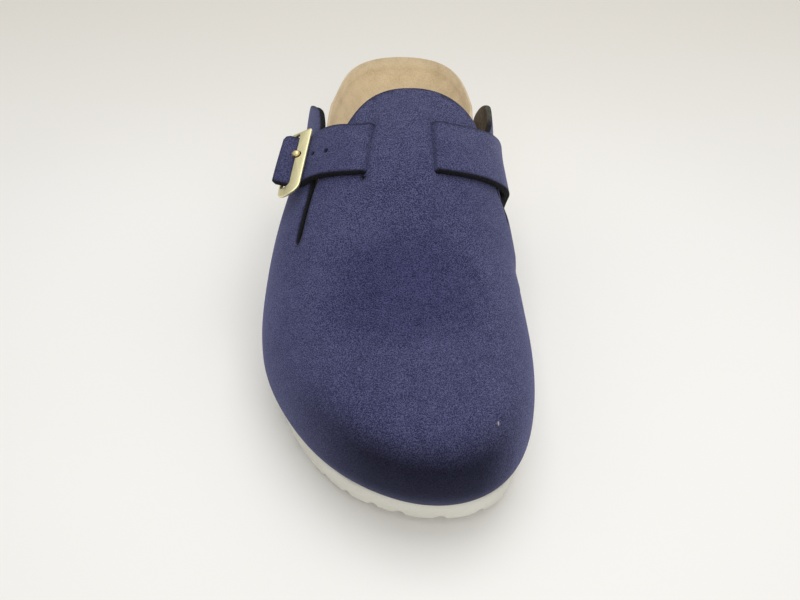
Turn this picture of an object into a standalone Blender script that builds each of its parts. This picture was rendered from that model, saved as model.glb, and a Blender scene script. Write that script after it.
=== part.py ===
"""A right-foot footbed clog on its sole: outsole, footbed, hollow leather upper, instep strap and buckle.

Sizes below are in millimetres and become metres when a mesh is made. The toe points to -Y, the medial
side (big toe) to +X, the floor is z = 0.
"""
import math

import bpy
import numpy as np
from mathutils.geometry import delaunay_2d_cdt

MM = 0.001
GAP = 0.3

LENGTH = 266.0
# The middle of the finished shoe's box in plan, moved to the origin.
MIDDLE = np.array([-1.4, 0.55, 0.0])
WALL = 2.2
HEEL_STACK = 20.0
BALL_STACK = 13.0
TOE_STACK = 9.4
TOE_SPRING = 7.4
SPRING_SHARE = 0.26
BULGE_RISE = 10.5
TUCK_TOE = 4.7
TUCK_HEEL = 2.4
SECTION_POWER = 2.5
TOE_BOX_SHARE = 0.17
TOE_BOX_POWER = 3.0
RIDGE_SHIFT = 4.0
FLARE_LATERAL = 1.7
FLARE_MEDIAL = 3.2
FLARE_SHARES = (0.54, 0.68)
FLARE_DROPS = (1.05, 0.60)
# The medial quarter turns inward towards its rear edge, most of all where it rises from the footbed.
INTURN = 5.0
INTURN_SHARES = (0.65, 0.74)
INTURN_DROPS = (0.62, 0.84, 0.90, 1.02)

# The widest line of the upper, and of the footbed behind the quarters:
# share of the length from the toe, half width, centre towards the medial side.
OUTLINE = np.array([
    (0.00, 0.0, 13.4),
    (0.02, 18.8, 12.2),
    (0.07, 32.9, 8.7),
    (0.15, 43.4, 4.2),
    (0.25, 49.2, -0.3),
    (0.35, 49.0, -2.4),
    (0.47, 46.2, -2.8),
    (0.60, 41.2, -1.3),
    (0.72, 39.6, -1.4),
    (0.84, 34.6, 0.0),
    (0.93, 28.8, 0.0),
    (0.98, 18.6, 0.0),
    (1.00, 0.0, 0.0),
])

# The top of the upper: share of the length, height.
RIDGE = np.array([
    (0.10, 51.0),
    (0.20, 54.5),
    (0.30, 60.0),
    (0.40, 69.0),
    (0.50, 81.0),
    (0.56, 88.5),
    (0.75, 95.0),
])

# The footbed: share of the length, foot surface above the sole, rim above the sole.
FOOTBED = np.array([
    (0.00, 5.0, 8.0),
    (0.30, 5.0, 8.0),
    (0.50, 8.5, 11.5),
    (0.60, 10.0, 15.0),
    (0.72, 8.5, 20.5),
    (0.84, 7.0, 25.0),
    (1.00, 7.0, 27.0),
])


def natural_spline(knots, values):
    """A smooth curve through the values, as a function."""
    count = len(knots)
    step = np.diff(knots)
    slope = np.diff(values) / step
    matrix = np.eye(count)
    right = np.zeros(count)
    for i in range(1, count - 1):
        matrix[i, i - 1:i + 2] = step[i - 1], 2 * (step[i - 1] + step[i]), step[i]
        right[i] = 6 * (slope[i] - slope[i - 1])
    bend = np.linalg.solve(matrix, right)

    def curve(at):
        at = np.asarray(at, float)
        i = np.clip(np.searchsorted(knots, at) - 1, 0, count - 2)
        along = at - knots[i]
        first = slope[i] - step[i] * (2 * bend[i] + bend[i + 1]) / 6
        third = (bend[i + 1] - bend[i]) / (6 * step[i])
        return values[i] + along * (first + along * (bend[i] / 2 + along * third))

    return curve


def eased(share):
    share = np.clip(share, 0, 1)
    return share ** 2 * (3 - 2 * share)


def angle_of(share):
    return np.arccos(np.clip(1 - 2 * np.asarray(share, float), -1, 1))


half_width = natural_spline(angle_of(OUTLINE[:, 0]), OUTLINE[:, 1])
centre_line = natural_spline(angle_of(OUTLINE[:, 0]), OUTLINE[:, 2])
ridge_line = natural_spline(RIDGE[:, 0], RIDGE[:, 1])


def share_of(turn):
    return (1 - np.cos(turn)) / 2


def station(share):
    return (share - 0.5) * LENGTH


def floor_rise(share):
    """Height of the lugs' bottom: flat, then sprung at the toe."""
    return TOE_SPRING * np.clip(1 - share / SPRING_SHARE, 0, 1) ** 2


def feather(share):
    """Height of the sole's top, where the upper and the footbed stand."""
    stack = np.interp(share, (0.0, 0.35, 0.8, 1.0), (TOE_STACK, BALL_STACK, HEEL_STACK, HEEL_STACK))
    return floor_rise(share) + stack


def widest_height(share):
    return feather(share) + BULGE_RISE


def crown(share):
    """Height of the upper along its ridge, rounded off over the toe."""
    low = widest_height(share)
    near = np.clip(share / TOE_BOX_SHARE, 0, 1)
    return low + (ridge_line(share) - low) * (1 - (1 - near) ** TOE_BOX_POWER) ** (1 / TOE_BOX_POWER)


def ridge_place(share):
    return centre_line(angle_of(share)) + RIDGE_SHIFT * np.clip(share / 0.25, 0, 1)


def tuck(share):
    return np.interp(share, (0.0, 0.45, 0.72, 1.0), (TUCK_TOE, TUCK_TOE, TUCK_HEEL, TUCK_HEEL))


def outline(turn):
    """Plan points of the widest line: turn 0 at the toe, pi at the heel by the medial side."""
    turn = np.mod(turn, 2 * math.pi)
    medial = turn <= math.pi
    angle = np.where(medial, turn, 2 * math.pi - turn)
    x = centre_line(angle) + np.where(medial, 1, -1) * half_width(angle)
    return np.stack([x, station(share_of(angle))], -1)


def inset_outline(turn, inset):
    travel = outline(turn + 1e-3) - outline(turn - 1e-3)
    travel /= np.linalg.norm(travel, axis=-1, keepdims=True)
    inward = np.stack([-travel[..., 1], travel[..., 0]], -1)
    return outline(turn) + inward * np.asarray(inset)[..., None]


FAN_PULL = 0.13
FAN_SHARE = 0.32
GIRTH_STEPS = np.concatenate([np.linspace(0, 1, 41), np.linspace(1, 2, 9)[1:]])


def spine_share(share):
    """Station of the ridge point facing an outline point: pulled back at the toe, so lines fan out."""
    return share + FAN_PULL * np.clip(1 - share / FAN_SHARE, 0, 1) ** 2


def dome_height(x, share):
    middle = ridge_place(share)
    angle = angle_of(share)
    reach = np.where(x >= middle, centre_line(angle) + half_width(angle) - middle,
                     middle - centre_line(angle) + half_width(angle))
    across = np.clip(np.abs(x - middle) / np.maximum(reach, 1e-6), 0, 1)
    rise = (1 - across ** SECTION_POWER) ** (1 / SECTION_POWER)
    return widest_height(share) + (crown(share) - widest_height(share)) * rise


def skin(turn, drop):
    """The upper's outer face: drop 0 on the ridge, 1 on the widest line, 2 at the sole."""
    turn, drop = np.broadcast_arrays(np.asarray(turn, float), np.asarray(drop, float))
    share = share_of(turn)
    over = np.sin(np.clip(drop, 0, 1) * math.pi / 2) ** (2 / SECTION_POWER)
    under = np.clip(drop - 1, 0, 1)
    spine = np.stack([ridge_place(spine_share(share)), station(spine_share(share))], -1)
    edge = inset_outline(turn, tuck(share) * under ** 2)
    plan = spine + (edge - spine) * over[..., None]
    back = eased((share - FLARE_SHARES[0]) / (FLARE_SHARES[1] - FLARE_SHARES[0]))
    high = eased((drop - FLARE_DROPS[0]) / (FLARE_DROPS[1] - FLARE_DROPS[0]))
    inward = eased((share - INTURN_SHARES[0]) / (INTURN_SHARES[1] - INTURN_SHARES[0]))
    inward = inward * eased(np.interp(drop, INTURN_DROPS, (0.0, 1.0, 1.0, 0.0)))
    plan[..., 0] += np.where(np.sin(turn) >= 0, FLARE_MEDIAL * back * high - INTURN * inward,
                             -FLARE_LATERAL * back * high)
    on_dome = dome_height(plan[..., 0], plan[..., 1] / LENGTH + 0.5)
    foot = feather(np.clip(edge[..., 1] / LENGTH + 0.5, 0, 1)) + GAP
    below = widest_height(share) * (1 - under) + foot * under
    # Close to the widest line the dome is steep, so its height follows the line's own section there.
    steep = widest_height(share) + (crown(share) - widest_height(share)) * np.cos(
        np.clip(drop, 0, 1) * math.pi / 2) ** (2 / SECTION_POWER)
    straight = share > FAN_SHARE
    height = np.where(drop > 1, below, np.where(straight, steep, on_dome))
    return np.concatenate([plan, height[..., None]], -1)


def girths(turn):
    """Distance over the skin from the ridge, for each turn at each of GIRTH_STEPS."""
    points = skin(np.asarray(turn)[..., None], GIRTH_STEPS)
    legs = np.linalg.norm(np.diff(points, axis=-2), axis=-1)
    return np.concatenate([np.zeros(legs.shape[:-1] + (1,)), np.cumsum(legs, -1)], -1)


def drop_at(turn, girth):
    tables = girths(turn)
    return np.array([np.interp(g, table, GIRTH_STEPS) for g, table in zip(girth, tables)])


def skin_at(girth, y):
    """The skin by signed girth from the ridge (medial +) and station, behind the toe's fan."""
    girth, y = np.broadcast_arrays(np.asarray(girth, float), np.asarray(y, float))
    turn = angle_of(y / LENGTH + 0.5) * np.where(girth < 0, -1, 1)
    flat = turn.ravel()
    return skin(flat, drop_at(flat, np.abs(girth).ravel())).reshape(girth.shape + (3,))


def skin_normal(girth, y):
    across = skin_at(girth + 0.6, y) - skin_at(girth - 0.6, y)
    along = skin_at(girth, y + 0.6) - skin_at(girth, y - 0.6)
    normal = np.cross(across, along)
    return normal / np.linalg.norm(normal, axis=-1, keepdims=True)


def girth_at_height(side, y, z):
    """Signed girth of the skin point at station y and height z on one side."""
    share = y / LENGTH + 0.5
    low = widest_height(share)
    if z >= low:
        drop = math.acos(((z - low) / (crown(share) - low)) ** (SECTION_POWER / 2)) * 2 / math.pi
    else:
        drop = 1 + (low - z) / (BULGE_RISE - GAP)
    table = girths(np.array([side * angle_of(share)]))[0]
    return side * float(np.interp(drop, GIRTH_STEPS, table))


def rounded(points, rounds, closed=False):
    """The line with its corners cut, as often as asked."""
    points = np.asarray(points, float)
    for _ in range(rounds):
        after = np.roll(points, -1, 0) if closed else points[1:]
        before = points if closed else points[:-1]
        cut = np.stack([before * 0.75 + after * 0.25, before * 0.25 + after * 0.75], 1).reshape(-1, 2)
        points = cut if closed else np.concatenate([points[:1], cut, points[-1:]])
    return points


def respaced(points, spacing):
    """The line sampled again at an even spacing, both ends kept."""
    legs = np.linalg.norm(np.diff(points, axis=0), axis=1)
    run = np.concatenate([[0], np.cumsum(legs)])
    at = np.linspace(0, run[-1], max(int(round(run[-1] / spacing)), 1) + 1)
    return np.stack([np.interp(at, run, points[:, i]) for i in range(points.shape[1])], -1)


# The cut edge of the upper. Each quarter's edge from its foot to the slit: station, height.
REAR_FOOT = 66.0
LATERAL_QUARTER = np.array([
    (62.5, 30.0),
    (58.5, 46.0),
    (53.0, 57.0),
    (46.5, 65.6),
    (38.0, 69.2),
    (29.0, 74.2),
    (20.0, 75.0),
    (11.5, 74.5),
])
MEDIAL_QUARTER = np.array([
    (63.0, 30.0),
    (62.0, 45.0),
    (60.0, 53.5),
    (56.0, 61.0),
    (49.0, 65.3),
    (40.0, 65.3),
    (33.0, 65.0),
    (25.0, 66.5),
    (15.0, 69.5),
])
# Then round the slit and up the tongue: girth from the ridge, station.
LATERAL_SLIT = np.array([
    (-36.5, -14.0),
    (-39.5, -27.0),
    (-42.0, -39.0),
    (-39.7, -39.4),
    (-37.4, -27.0),
    (-34.2, -14.0),
    (-24.5, 4.5),
    (-18.0, 13.0),
    (-9.5, 17.3),
    (0.5, 18.6),
])
MEDIAL_SLIT = np.array([
    (43.0, 3.0),
    (48.0, -9.0),
    (50.0, -17.0),
    (48.6, -17.4),
    (46.2, -9.0),
    (40.5, 2.0),
    (32.5, 13.5),
    (22.0, 16.5),
    (10.5, 18.0),
])
# The two slits over the instep: girth and station of the rear end, then of the front end.
BRIDGE_SLITS = np.array([
    (-11.2, 4.8, -13.9, -19.2),
    (9.2, 5.2, 11.7, -18.8),
])
SLIT_WIDTH = 3.6
SLIT_END = 2.0
BRIDGE_LIFT = 2.6
BRIDGE_MIDDLE = -6.8
BRIDGE_FLAT = 12.0
BRIDGE_FADE = 12.0

# The strap's middle line from its medial foot to its free end:
# girth, station, lean of the cross line, height of its middle above the skin.
STRAP_WIDTH = 19.8
STRAP_THICK = 2.6
STRAP = np.array([
    (84.0, 31.0, -0.10, 1.80),
    (72.0, 25.5, -0.45, 1.80),
    (60.0, 18.0, -0.60, 2.00),
    (50.0, 10.5, -0.60, 2.50),
    (40.0, 3.0, -0.50, 2.80),
    (28.0, -3.0, -0.25, 1.90),
    (18.0, -6.0, -0.12, 1.80),
    (12.3, -6.5, -0.10, 1.80),
    (8.7, -6.7, -0.10, -1.70),
    (4.5, -6.8, -0.03, -1.70),
    (-6.5, -7.0, 0.08, -1.70),
    (-10.6, -7.4, 0.11, -1.70),
    (-14.4, -7.6, 0.11, 1.80),
    (-20.0, -7.0, 0.16, 1.80),
    (-28.0, -5.0, 0.22, 1.80),
    (-34.0, -3.6, 0.20, 1.80),
    (-37.0, -3.3, 0.18, 1.70),
    (-39.5, -3.5, 0.13, 1.95),
    (-41.0, -3.6, 0.11, 3.50),
    (-42.3, -3.6, 0.10, 6.20),
    (-43.2, -3.5, 0.10, 8.60),
    (-44.1, -3.4, 0.10, 9.80),
    (-45.0, -3.2, 0.10, 10.2),
])
# Share of the strap's width by the girth on the lateral side.
STRAP_SHARES = np.array([
    (0.0, 1.00),
    (20.0, 0.98),
    (30.0, 1.02),
    (38.0, 1.03),
])

# Sole: share of the length, inset of its top edge from the widest line, shift towards the medial side.
SOLE_EDGE = np.array([
    (0.00, 6.0, 0.6),
    (0.05, 4.2, 0.6),
    (0.12, 3.8, 0.6),
    (0.30, 4.4, 0.3),
    (0.50, 4.5, 0.0),
    (0.74, 3.2, 0.0),
    (0.84, -0.5, 0.0),
    (1.00, -0.5, 0.0),
])
# The sole's wall from its top down: share of the wall, inset from the top edge.
SOLE_WALL = np.array([
    (0.00, 0.0),
    (0.20, -0.4),
    (0.50, -0.3),
    (0.80, 0.4),
    (0.93, 1.0),
    (1.00, 2.0),
])
# The footbed's side: share of the length, inset of its foot from the widest line, inset of its rim.
FOOTBED_EDGE = np.array([
    (0.00, 7.4, 4.6),
    (0.50, 7.4, 4.6),
    (0.745, 6.0, 5.8),
    (0.825, 0.7, 2.2),
    (1.00, 0.6, 2.4),
])
ARCH_RISE = 5.0
LUG_DEPTH = 2.6
GROOVE_FOOT = 5.0
GROOVE_TOP = 1.8
GROOVE_PITCH = 14.0
GROOVE_WAVE = 2.6
# Where the grooves round the toe and the heel point: angle from straight ahead or straight back, degrees.
TOE_GROOVES = (-78.0, -58.0, -33.5, -10.5, 19.0, 45.0, 70.0)
HEEL_GROOVES = (-60.0, -36.0, -12.0, 12.0, 36.0, 60.0)
TOE_GROOVE_HUB = (6.0, -100.0)
HEEL_GROOVE_HUB = (0.0, 98.0)

# Places of the buckle's front and rear bars as girth, station and height above the skin. Its frame is bent
# to an arc between them, turned this many degrees at each bar.
FRAME_BEND = 24.0
FRONT_BAR = (-39.2, -5.5, 5.4)
REAR_BAR = (-46.2, -3.25, 6.4)
# Girth that the bars gain for each millimetre back along them.
BAR_LEAN = 0.06
FRAME_THICK = 1.4
FRAME_HALF = 15.8
FRONT_BAR_WIDE = 4.4
REAR_BAR_WIDE = 1.6
HEEL_ARM = 2.1
TOE_ARM = 4.4
# Share by which the heel arm is drawn in towards the rear bar.
HEEL_TAPER = 0.07
FRAME_EASE = 0.3
# Corner radii of the frame: front bar's heel end, rear bar's heel end and toe end, front bar's toe end.
OUTER_RADII = np.array([0.8, 2.4, 5.2, 5.6])
INNER_RADII = np.array([0.8, 1.0, 1.4, 1.9])
NOTCH_RADIUS = 1.75
BALL_RADIUS = 1.35
HEAD_SET = 0.6
# The prong lies this far behind the middle of the bars.
PRONG_BACK = 3.2
SHAFT_RADIUS = 0.7
LOOP_RADIUS = 1.6
LOOP_WIRE = 0.4
# The tab in section, girth from the rear bar and height above the skin: its outside, then the bar's eye.
TAB_OUTSIDE = np.array([
    (-13.0, 0.4), (-7.0, 0.4), (-4.6, 2.6), (-1.8, 4.2), (1.2, 4.2), (2.3, 4.7), (2.8, 5.6), (2.8, 7.3),
    (2.2, 8.2), (0.8, 8.5), (-2.0, 8.5), (-4.6, 6.6), (-8.2, 2.6), (-13.0, 2.4),
])
TAB_EYE = np.array([(-1.95, 5.2), (1.9, 5.2), (1.9, 7.6), (-1.95, 7.6)])
TAB_HALF = 4.2
# Millimetres that the tab runs back for each millimetre down the side.
TAB_LEAN = 0.5
TAB_SLOT = 2.6

# Meshes


def new_object(name, points, faces, color, rough, metal=0.0):
    mesh = bpy.data.meshes.new(name)
    placed = (np.asarray(points) - MIDDLE) * MM
    mesh.from_pydata([tuple(p) for p in placed], [], [tuple(map(int, f)) for f in faces])
    mesh.validate()
    obj = bpy.data.objects.new(name, mesh)
    bpy.context.scene.collection.objects.link(obj)
    material = bpy.data.materials.new(name)
    material.use_nodes = True
    shader = material.node_tree.nodes["Principled BSDF"]
    shader.inputs["Base Color"].default_value = (*color, 1.0)
    shader.inputs["Roughness"].default_value = rough
    shader.inputs["Metallic"].default_value = metal
    mesh.materials.append(material)
    return obj


def cut_by(obj, name, points, faces):
    """A Boolean cut by a helper that stays out of renders."""
    cutter = new_object(name, points, faces, (0.5, 0.5, 0.5), 0.5)
    cutter.hide_render = True
    cutter.display_type = "WIRE"
    cut = obj.modifiers.new(name, "BOOLEAN")
    cut.operation = "DIFFERENCE"
    cut.solver = "EXACT"
    cut.object = cutter


def loop_solid(rings):
    """A closed mesh from equal rings that start at the toe, its ends zipped from side to side."""
    size = len(rings[0])
    half = size // 2
    faces = []
    for k in range(len(rings) - 1):
        for i in range(size):
            j = (i + 1) % size
            faces.append((k * size + i, k * size + j, (k + 1) * size + j, (k + 1) * size + i))
    for start, flip in ((0, True), ((len(rings) - 1) * size, False)):
        cap = [(0, 1, size - 1)]
        cap += [(i, i + 1, size - i - 1, size - i) for i in range(1, half - 1)]
        cap += [(half - 1, half, half + 1)]
        for face in cap:
            face = tuple(start + i for i in face)
            faces.append(face[::-1] if flip else face)
    return np.concatenate(rings), faces


def turns(count):
    return np.arange(count) * 2 * math.pi / count


def make_outsole(count=112):
    turn = turns(count)
    share = share_of(turn)
    inset = np.interp(share, SOLE_EDGE[:, 0], SOLE_EDGE[:, 1])
    shift = np.interp(share, SOLE_EDGE[:, 0], SOLE_EDGE[:, 2])
    rings = []
    for down, more in SOLE_WALL[::-1]:
        plan = inset_outline(turn, inset + more) + np.stack([shift, 0 * shift], -1)
        at = np.clip(plan[:, 1] / LENGTH + 0.5, 0, 1)
        height = feather(at) * (1 - down) + floor_rise(at) * down
        rings.append(np.concatenate([plan, height[:, None]], -1))
    points, faces = loop_solid(rings)
    sole = new_object("outsole", points, faces, (0.85, 0.84, 0.80), 0.55)
    cut_by(sole, "lug_grooves", *all_grooves())
    return sole


def groove(path):
    """A bar with sloping sides along a plan path, from below the lugs to LUG_DEPTH into them."""
    path = np.asarray(path, float)
    along = np.gradient(path, axis=0)
    along /= np.linalg.norm(along, axis=1, keepdims=True)
    side = np.stack([-along[:, 1], along[:, 0]], -1)
    base = floor_rise(np.clip(path[:, 1] / LENGTH + 0.5, 0, 1))
    corners = []
    for half, rise in ((-GROOVE_FOOT / 2, -1.5), (GROOVE_FOOT / 2, -1.5),
                       (GROOVE_TOP / 2, LUG_DEPTH), (-GROOVE_TOP / 2, LUG_DEPTH)):
        corners.append(np.concatenate([path + side * half, (base + rise)[:, None]], -1))
    points = np.stack(corners, 1).reshape(-1, 3)
    faces = [(3, 2, 1, 0)]
    for i in range(len(path) - 1):
        for k in range(4):
            m = (k + 1) % 4
            faces.append((4 * i + k, 4 * i + m, 4 * i + 4 + m, 4 * i + 4 + k))
    last = 4 * (len(path) - 1)
    faces.append((last, last + 1, last + 2, last + 3))
    return points, faces


def all_grooves():
    bars = []
    first = TOE_GROOVE_HUB[1] + GROOVE_PITCH
    last = HEEL_GROOVE_HUB[1] - GROOVE_PITCH / 2
    for y in np.arange(first, last, GROOVE_PITCH):
        x = np.linspace(-62, 62, 21)
        bars.append(groove(np.stack([x, y + GROOVE_WAVE * np.sin(x * 2 * math.pi / 31)], -1)))
    for hub, angles, ahead in ((TOE_GROOVE_HUB, TOE_GROOVES, -1), (HEEL_GROOVE_HUB, HEEL_GROOVES, 1)):
        for angle in np.radians(angles):
            reach = np.linspace(14.0, 62.0, 5)[:, None]
            bars.append(groove(np.array(hub) + reach * np.array((np.sin(angle), ahead * np.cos(angle)))))
    points, faces, count = [], [], 0
    for bar_points, bar_faces in bars:
        points.append(bar_points)
        faces += [tuple(count + i for i in face) for face in bar_faces]
        count += len(bar_points)
    return np.concatenate(points), faces


def make_footbed(count=72):
    turn = turns(count)
    share = share_of(turn)
    seat = natural_spline(FOOTBED[:, 0], FOOTBED[:, 1])
    rim = natural_spline(FOOTBED[:, 0], FOOTBED[:, 2])
    foot_inset = np.interp(share, FOOTBED_EDGE[:, 0], FOOTBED_EDGE[:, 1])
    rim_inset = np.interp(share, FOOTBED_EDGE[:, 0], FOOTBED_EDGE[:, 2])
    foot_line = inset_outline(turn, foot_inset)
    base = feather(np.clip(foot_line[:, 1] / LENGTH + 0.5, 0, 1)) + GAP
    rings = [with_height(foot_line, base)]
    rings.append(with_height(inset_outline(turn, foot_inset * 0.6 + rim_inset * 0.4 - 0.3),
                             base + 0.5 * rim(share)))
    rings.append(with_height(inset_outline(turn, rim_inset), base + rim(share) - 1.0))
    rings.append(with_height(inset_outline(turn, rim_inset + 1.2), base + rim(share)))
    rim_line = inset_outline(turn, rim_inset)
    back = np.clip((share - 0.78) / 0.22, 0, 1)
    spine = spine_share(share) - 0.14 * back ** 2
    spine_line = np.stack([centre_line(angle_of(spine)), station(spine)], -1)
    medial = np.where(np.sin(turn) > 0, 1.0, 0.0)
    for reach in (0.90, 0.82, 0.70, 0.52, 0.30, 0.10):
        plan = spine_line + (rim_line - spine_line) * reach
        at = np.clip(plan[:, 1] / LENGTH + 0.5, 0, 1)
        arch = ARCH_RISE * medial * np.exp(-((at - 0.56) / 0.10) ** 2) * reach ** 2
        ground = feather(at) + GAP
        up = (ground + seat(at) + arch) * (1 - reach ** 5) + (base + rim(share)) * reach ** 5
        rings.append(with_height(plan, up))
    points, faces = loop_solid(rings)
    return new_object("footbed", points, faces, (0.55, 0.43, 0.28), 0.9)


def with_height(plan, height):
    return np.concatenate([plan, np.asarray(height)[:, None]], -1)


def flat_place(turn, drop):
    """The skin laid flat for the cutting pattern: girth along each line from its ridge point."""
    turn = np.asarray(turn, float)
    share = share_of(turn)
    ahead = spine_share(share)
    spine = np.stack([ridge_place(ahead), station(ahead)], -1)
    way = outline(turn) - spine
    way /= np.linalg.norm(way, axis=-1, keepdims=True)
    girth = np.array([np.interp(d, GIRTH_STEPS, table) for d, table in zip(drop, girths(turn))])
    return spine + way * girth[:, None]


def by_girth(line):
    """Turn and drop of points given as signed girth and station."""
    turn = angle_of(line[:, 1] / LENGTH + 0.5) * np.where(line[:, 0] < 0, -1, 1)
    return np.stack([turn, drop_at(turn, np.abs(line[:, 0]))], -1)


def pattern_loops(spacing):
    """The upper's cut edge and its two bridge slits, each a closed loop of turn and drop."""
    foot = feather(REAR_FOOT / LENGTH + 0.5) + GAP
    lateral = [(REAR_FOOT, foot), *LATERAL_QUARTER]
    medial = [(REAR_FOOT, foot), *MEDIAL_QUARTER]
    lateral = [(girth_at_height(-1, y, z), y) for y, z in lateral]
    medial = [(girth_at_height(1, y, z), y) for y, z in medial]
    top = np.concatenate([lateral, LATERAL_SLIT, MEDIAL_SLIT[::-1], medial[::-1]])
    top = respaced(rounded(top, 3), spacing)
    reach = angle_of(REAR_FOOT / LENGTH + 0.5)
    count = int(2 * reach * 95 / spacing)
    low = np.stack([np.linspace(reach, -reach, count), np.full(count, 2.0)], -1)
    loops = [np.concatenate([by_girth(top), low[1:-1]])]
    for rear_g, rear_y, front_g, front_y in BRIDGE_SLITS:
        half = SLIT_WIDTH / 2
        ends = np.array([(rear_g, rear_y), (front_g, front_y)])
        way = (ends[1] - ends[0]) / np.linalg.norm(ends[1] - ends[0]) * SLIT_END
        line = np.array([ends[0], ends[0] + way, ends[1] - way, ends[1]])
        ring = rounded(np.concatenate([line - (half, 0), line[::-1] + (half, 0)]), 1, closed=True)
        ring = respaced(np.concatenate([ring, ring[:1]]), min(spacing, 3.0))[:-1]
        loops.append(by_girth(ring))
    return loops


def bridge_lift(points):
    """How far the leather between the slits is lifted over the strap, rising within the slits' width."""
    y = points[:, 1]
    girth = points[:, 0] - ridge_place(y / LENGTH + 0.5)
    lift = BRIDGE_LIFT * eased((BRIDGE_FLAT + BRIDGE_FADE - np.abs(y - BRIDGE_MIDDLE)) / BRIDGE_FADE)
    for (rear_g, rear_y, front_g, front_y), side in zip(BRIDGE_SLITS, (-1, 1)):
        slit = rear_g + (y - rear_y) * (front_g - rear_g) / (front_y - rear_y)
        lift = lift * eased(0.5 - side * (girth - slit) / (SLIT_WIDTH - 0.6))
    return lift


def grid_places(spacing):
    """Turn and drop of an even grid over the whole skin."""
    reach = angle_of(REAR_FOOT / LENGTH + 0.5)
    rows = []
    for turn in np.linspace(-reach, reach, int(2 * reach * 95 / spacing)):
        table = girths(np.array([turn]))[0]
        step = np.arange(spacing * 0.5, table[-1] - spacing * 0.3, spacing)
        rows.append(np.stack([np.full(len(step), turn), np.interp(step, table, GIRTH_STEPS)], -1))
    return np.concatenate(rows)


def apart_from(places, others, distance):
    """Which places keep at least a distance from every other place."""
    keep = np.ones(len(places), bool)
    for start in range(0, len(places), 500):
        part = places[start:start + 500]
        gaps = np.linalg.norm(part[:, None] - others[None], axis=-1)
        keep[start:start + 500] = gaps.min(1) > distance
    return keep


def thinned(places, distance):
    """Indices of places that keep a distance from those kept before them."""
    cells = {}
    kept = []
    for i, place in enumerate(places):
        cell = tuple(np.floor(place / distance).astype(int))
        beside = [(cell[0] + dx, cell[1] + dy) for dx in (-1, 0, 1) for dy in (-1, 0, 1)]
        near = [k for place_cell in beside for k in cells.get(place_cell, ())]
        if all(np.linalg.norm(places[k] - place) >= distance for k in near):
            cells.setdefault(cell, []).append(i)
            kept.append(i)
    return kept


def cut_skin(spacing):
    """Points and triangles of the upper's outer face, cut to its pattern."""
    loops = pattern_loops(spacing)
    edge = np.concatenate(loops)
    edge_flat = flat_place(edge[:, 0], edge[:, 1])
    grid = grid_places(spacing)
    grid_flat = flat_place(grid[:, 0], grid[:, 1])
    keep = apart_from(grid_flat, edge_flat, spacing * 0.55)
    grid, grid_flat = grid[keep], grid_flat[keep]
    kept = thinned(grid_flat, spacing * 0.62)
    places = np.concatenate([edge, grid[kept]])
    flat = np.concatenate([edge_flat, grid_flat[kept]])
    borders, start, slit_of = [], 0, {}
    for n, loop in enumerate(loops):
        ids = list(range(start, start + len(loop)))
        borders += list(zip(ids, ids[1:] + ids[:1]))
        slit_of.update({i: n for i in ids})
        start += len(loop)
    made = delaunay_2d_cdt([tuple(p) for p in flat], borders, [], 1, 1e-4)
    source = [ids[0] for ids in made[3]]
    faces = []
    for face in made[2]:
        face = [source[i] for i in face]
        owners = {slit_of.get(i, -1) for i in face}
        if owners != {1} and owners != {2}:
            faces.append(face)
    points = skin(places[:, 0], places[:, 1])
    return points, np.array(faces)


def point_normals(points, faces):
    a, b, c = (points[faces[:, i]] for i in range(3))
    face_normals = np.cross(b - a, c - a)
    normals = np.zeros_like(points)
    for i in range(3):
        np.add.at(normals, faces[:, i], face_normals)
    return normals / np.maximum(np.linalg.norm(normals, axis=1, keepdims=True), 1e-12)


def thickened(outer, faces, normals, thick):
    """A closed wall: the face, its copy set inward by the thickness, and the cut edge between them."""
    count = len(outer)
    points = np.concatenate([outer, outer - normals * thick])
    ends = {}
    for face in faces:
        for i in range(3):
            ends[(face[i], face[(i + 1) % 3])] = True
    walls = [(b, a, a + count, b + count) for a, b in ends if (b, a) not in ends]
    return points, [tuple(f) for f in faces] + [tuple(f[::-1] + count) for f in faces] + walls


def make_upper(spacing=5.2):
    points, faces = cut_skin(spacing)
    normals = point_normals(points, faces)
    points = points + normals * bridge_lift(points)[:, None]
    normals = point_normals(points, faces)
    used = np.unique(faces)
    order = np.full(len(points), -1)
    order[used] = np.arange(len(used))
    points, faces = thickened(points[used], order[faces], normals[used], WALL)
    return new_object("upper", points, faces, (0.05, 0.055, 0.12), 0.85)


def strap_rows(spacing):
    """Girth, station, lean, height, width share and thickness of the strap's cross lines, foot first."""
    foot_y = STRAP[0, 1]
    foot = girth_at_height(1, foot_y, feather(foot_y / LENGTH + 0.5) + 3.0)
    inner = STRAP[1:-1, 0]
    marks = np.concatenate([[foot], inner, [STRAP[-1, 0]]])
    girth = [foot]
    for a, b in zip(marks, marks[1:]):
        girth += list(np.linspace(a, b, max(int(abs(b - a) / spacing), 1) + 1)[1:])
    girth = np.array(girth)
    knots = -STRAP[:, 0]
    y = natural_spline(knots, STRAP[:, 1])(-girth)
    lean = np.interp(-girth, knots, STRAP[:, 2])
    rise = np.interp(-girth, knots, STRAP[:, 3])
    thick = STRAP_THICK * (1 - 0.27 * eased((-38 - girth) / 4))
    to_end = girth - STRAP[-1, 0]
    wide = np.interp(-girth, STRAP_SHARES[:, 0], STRAP_SHARES[:, 1])
    wide = wide - 0.12 * np.clip(1 - to_end / 1.6, 0, 1) ** 2
    return np.stack([girth, y, lean, rise, wide, thick], -1)


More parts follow.
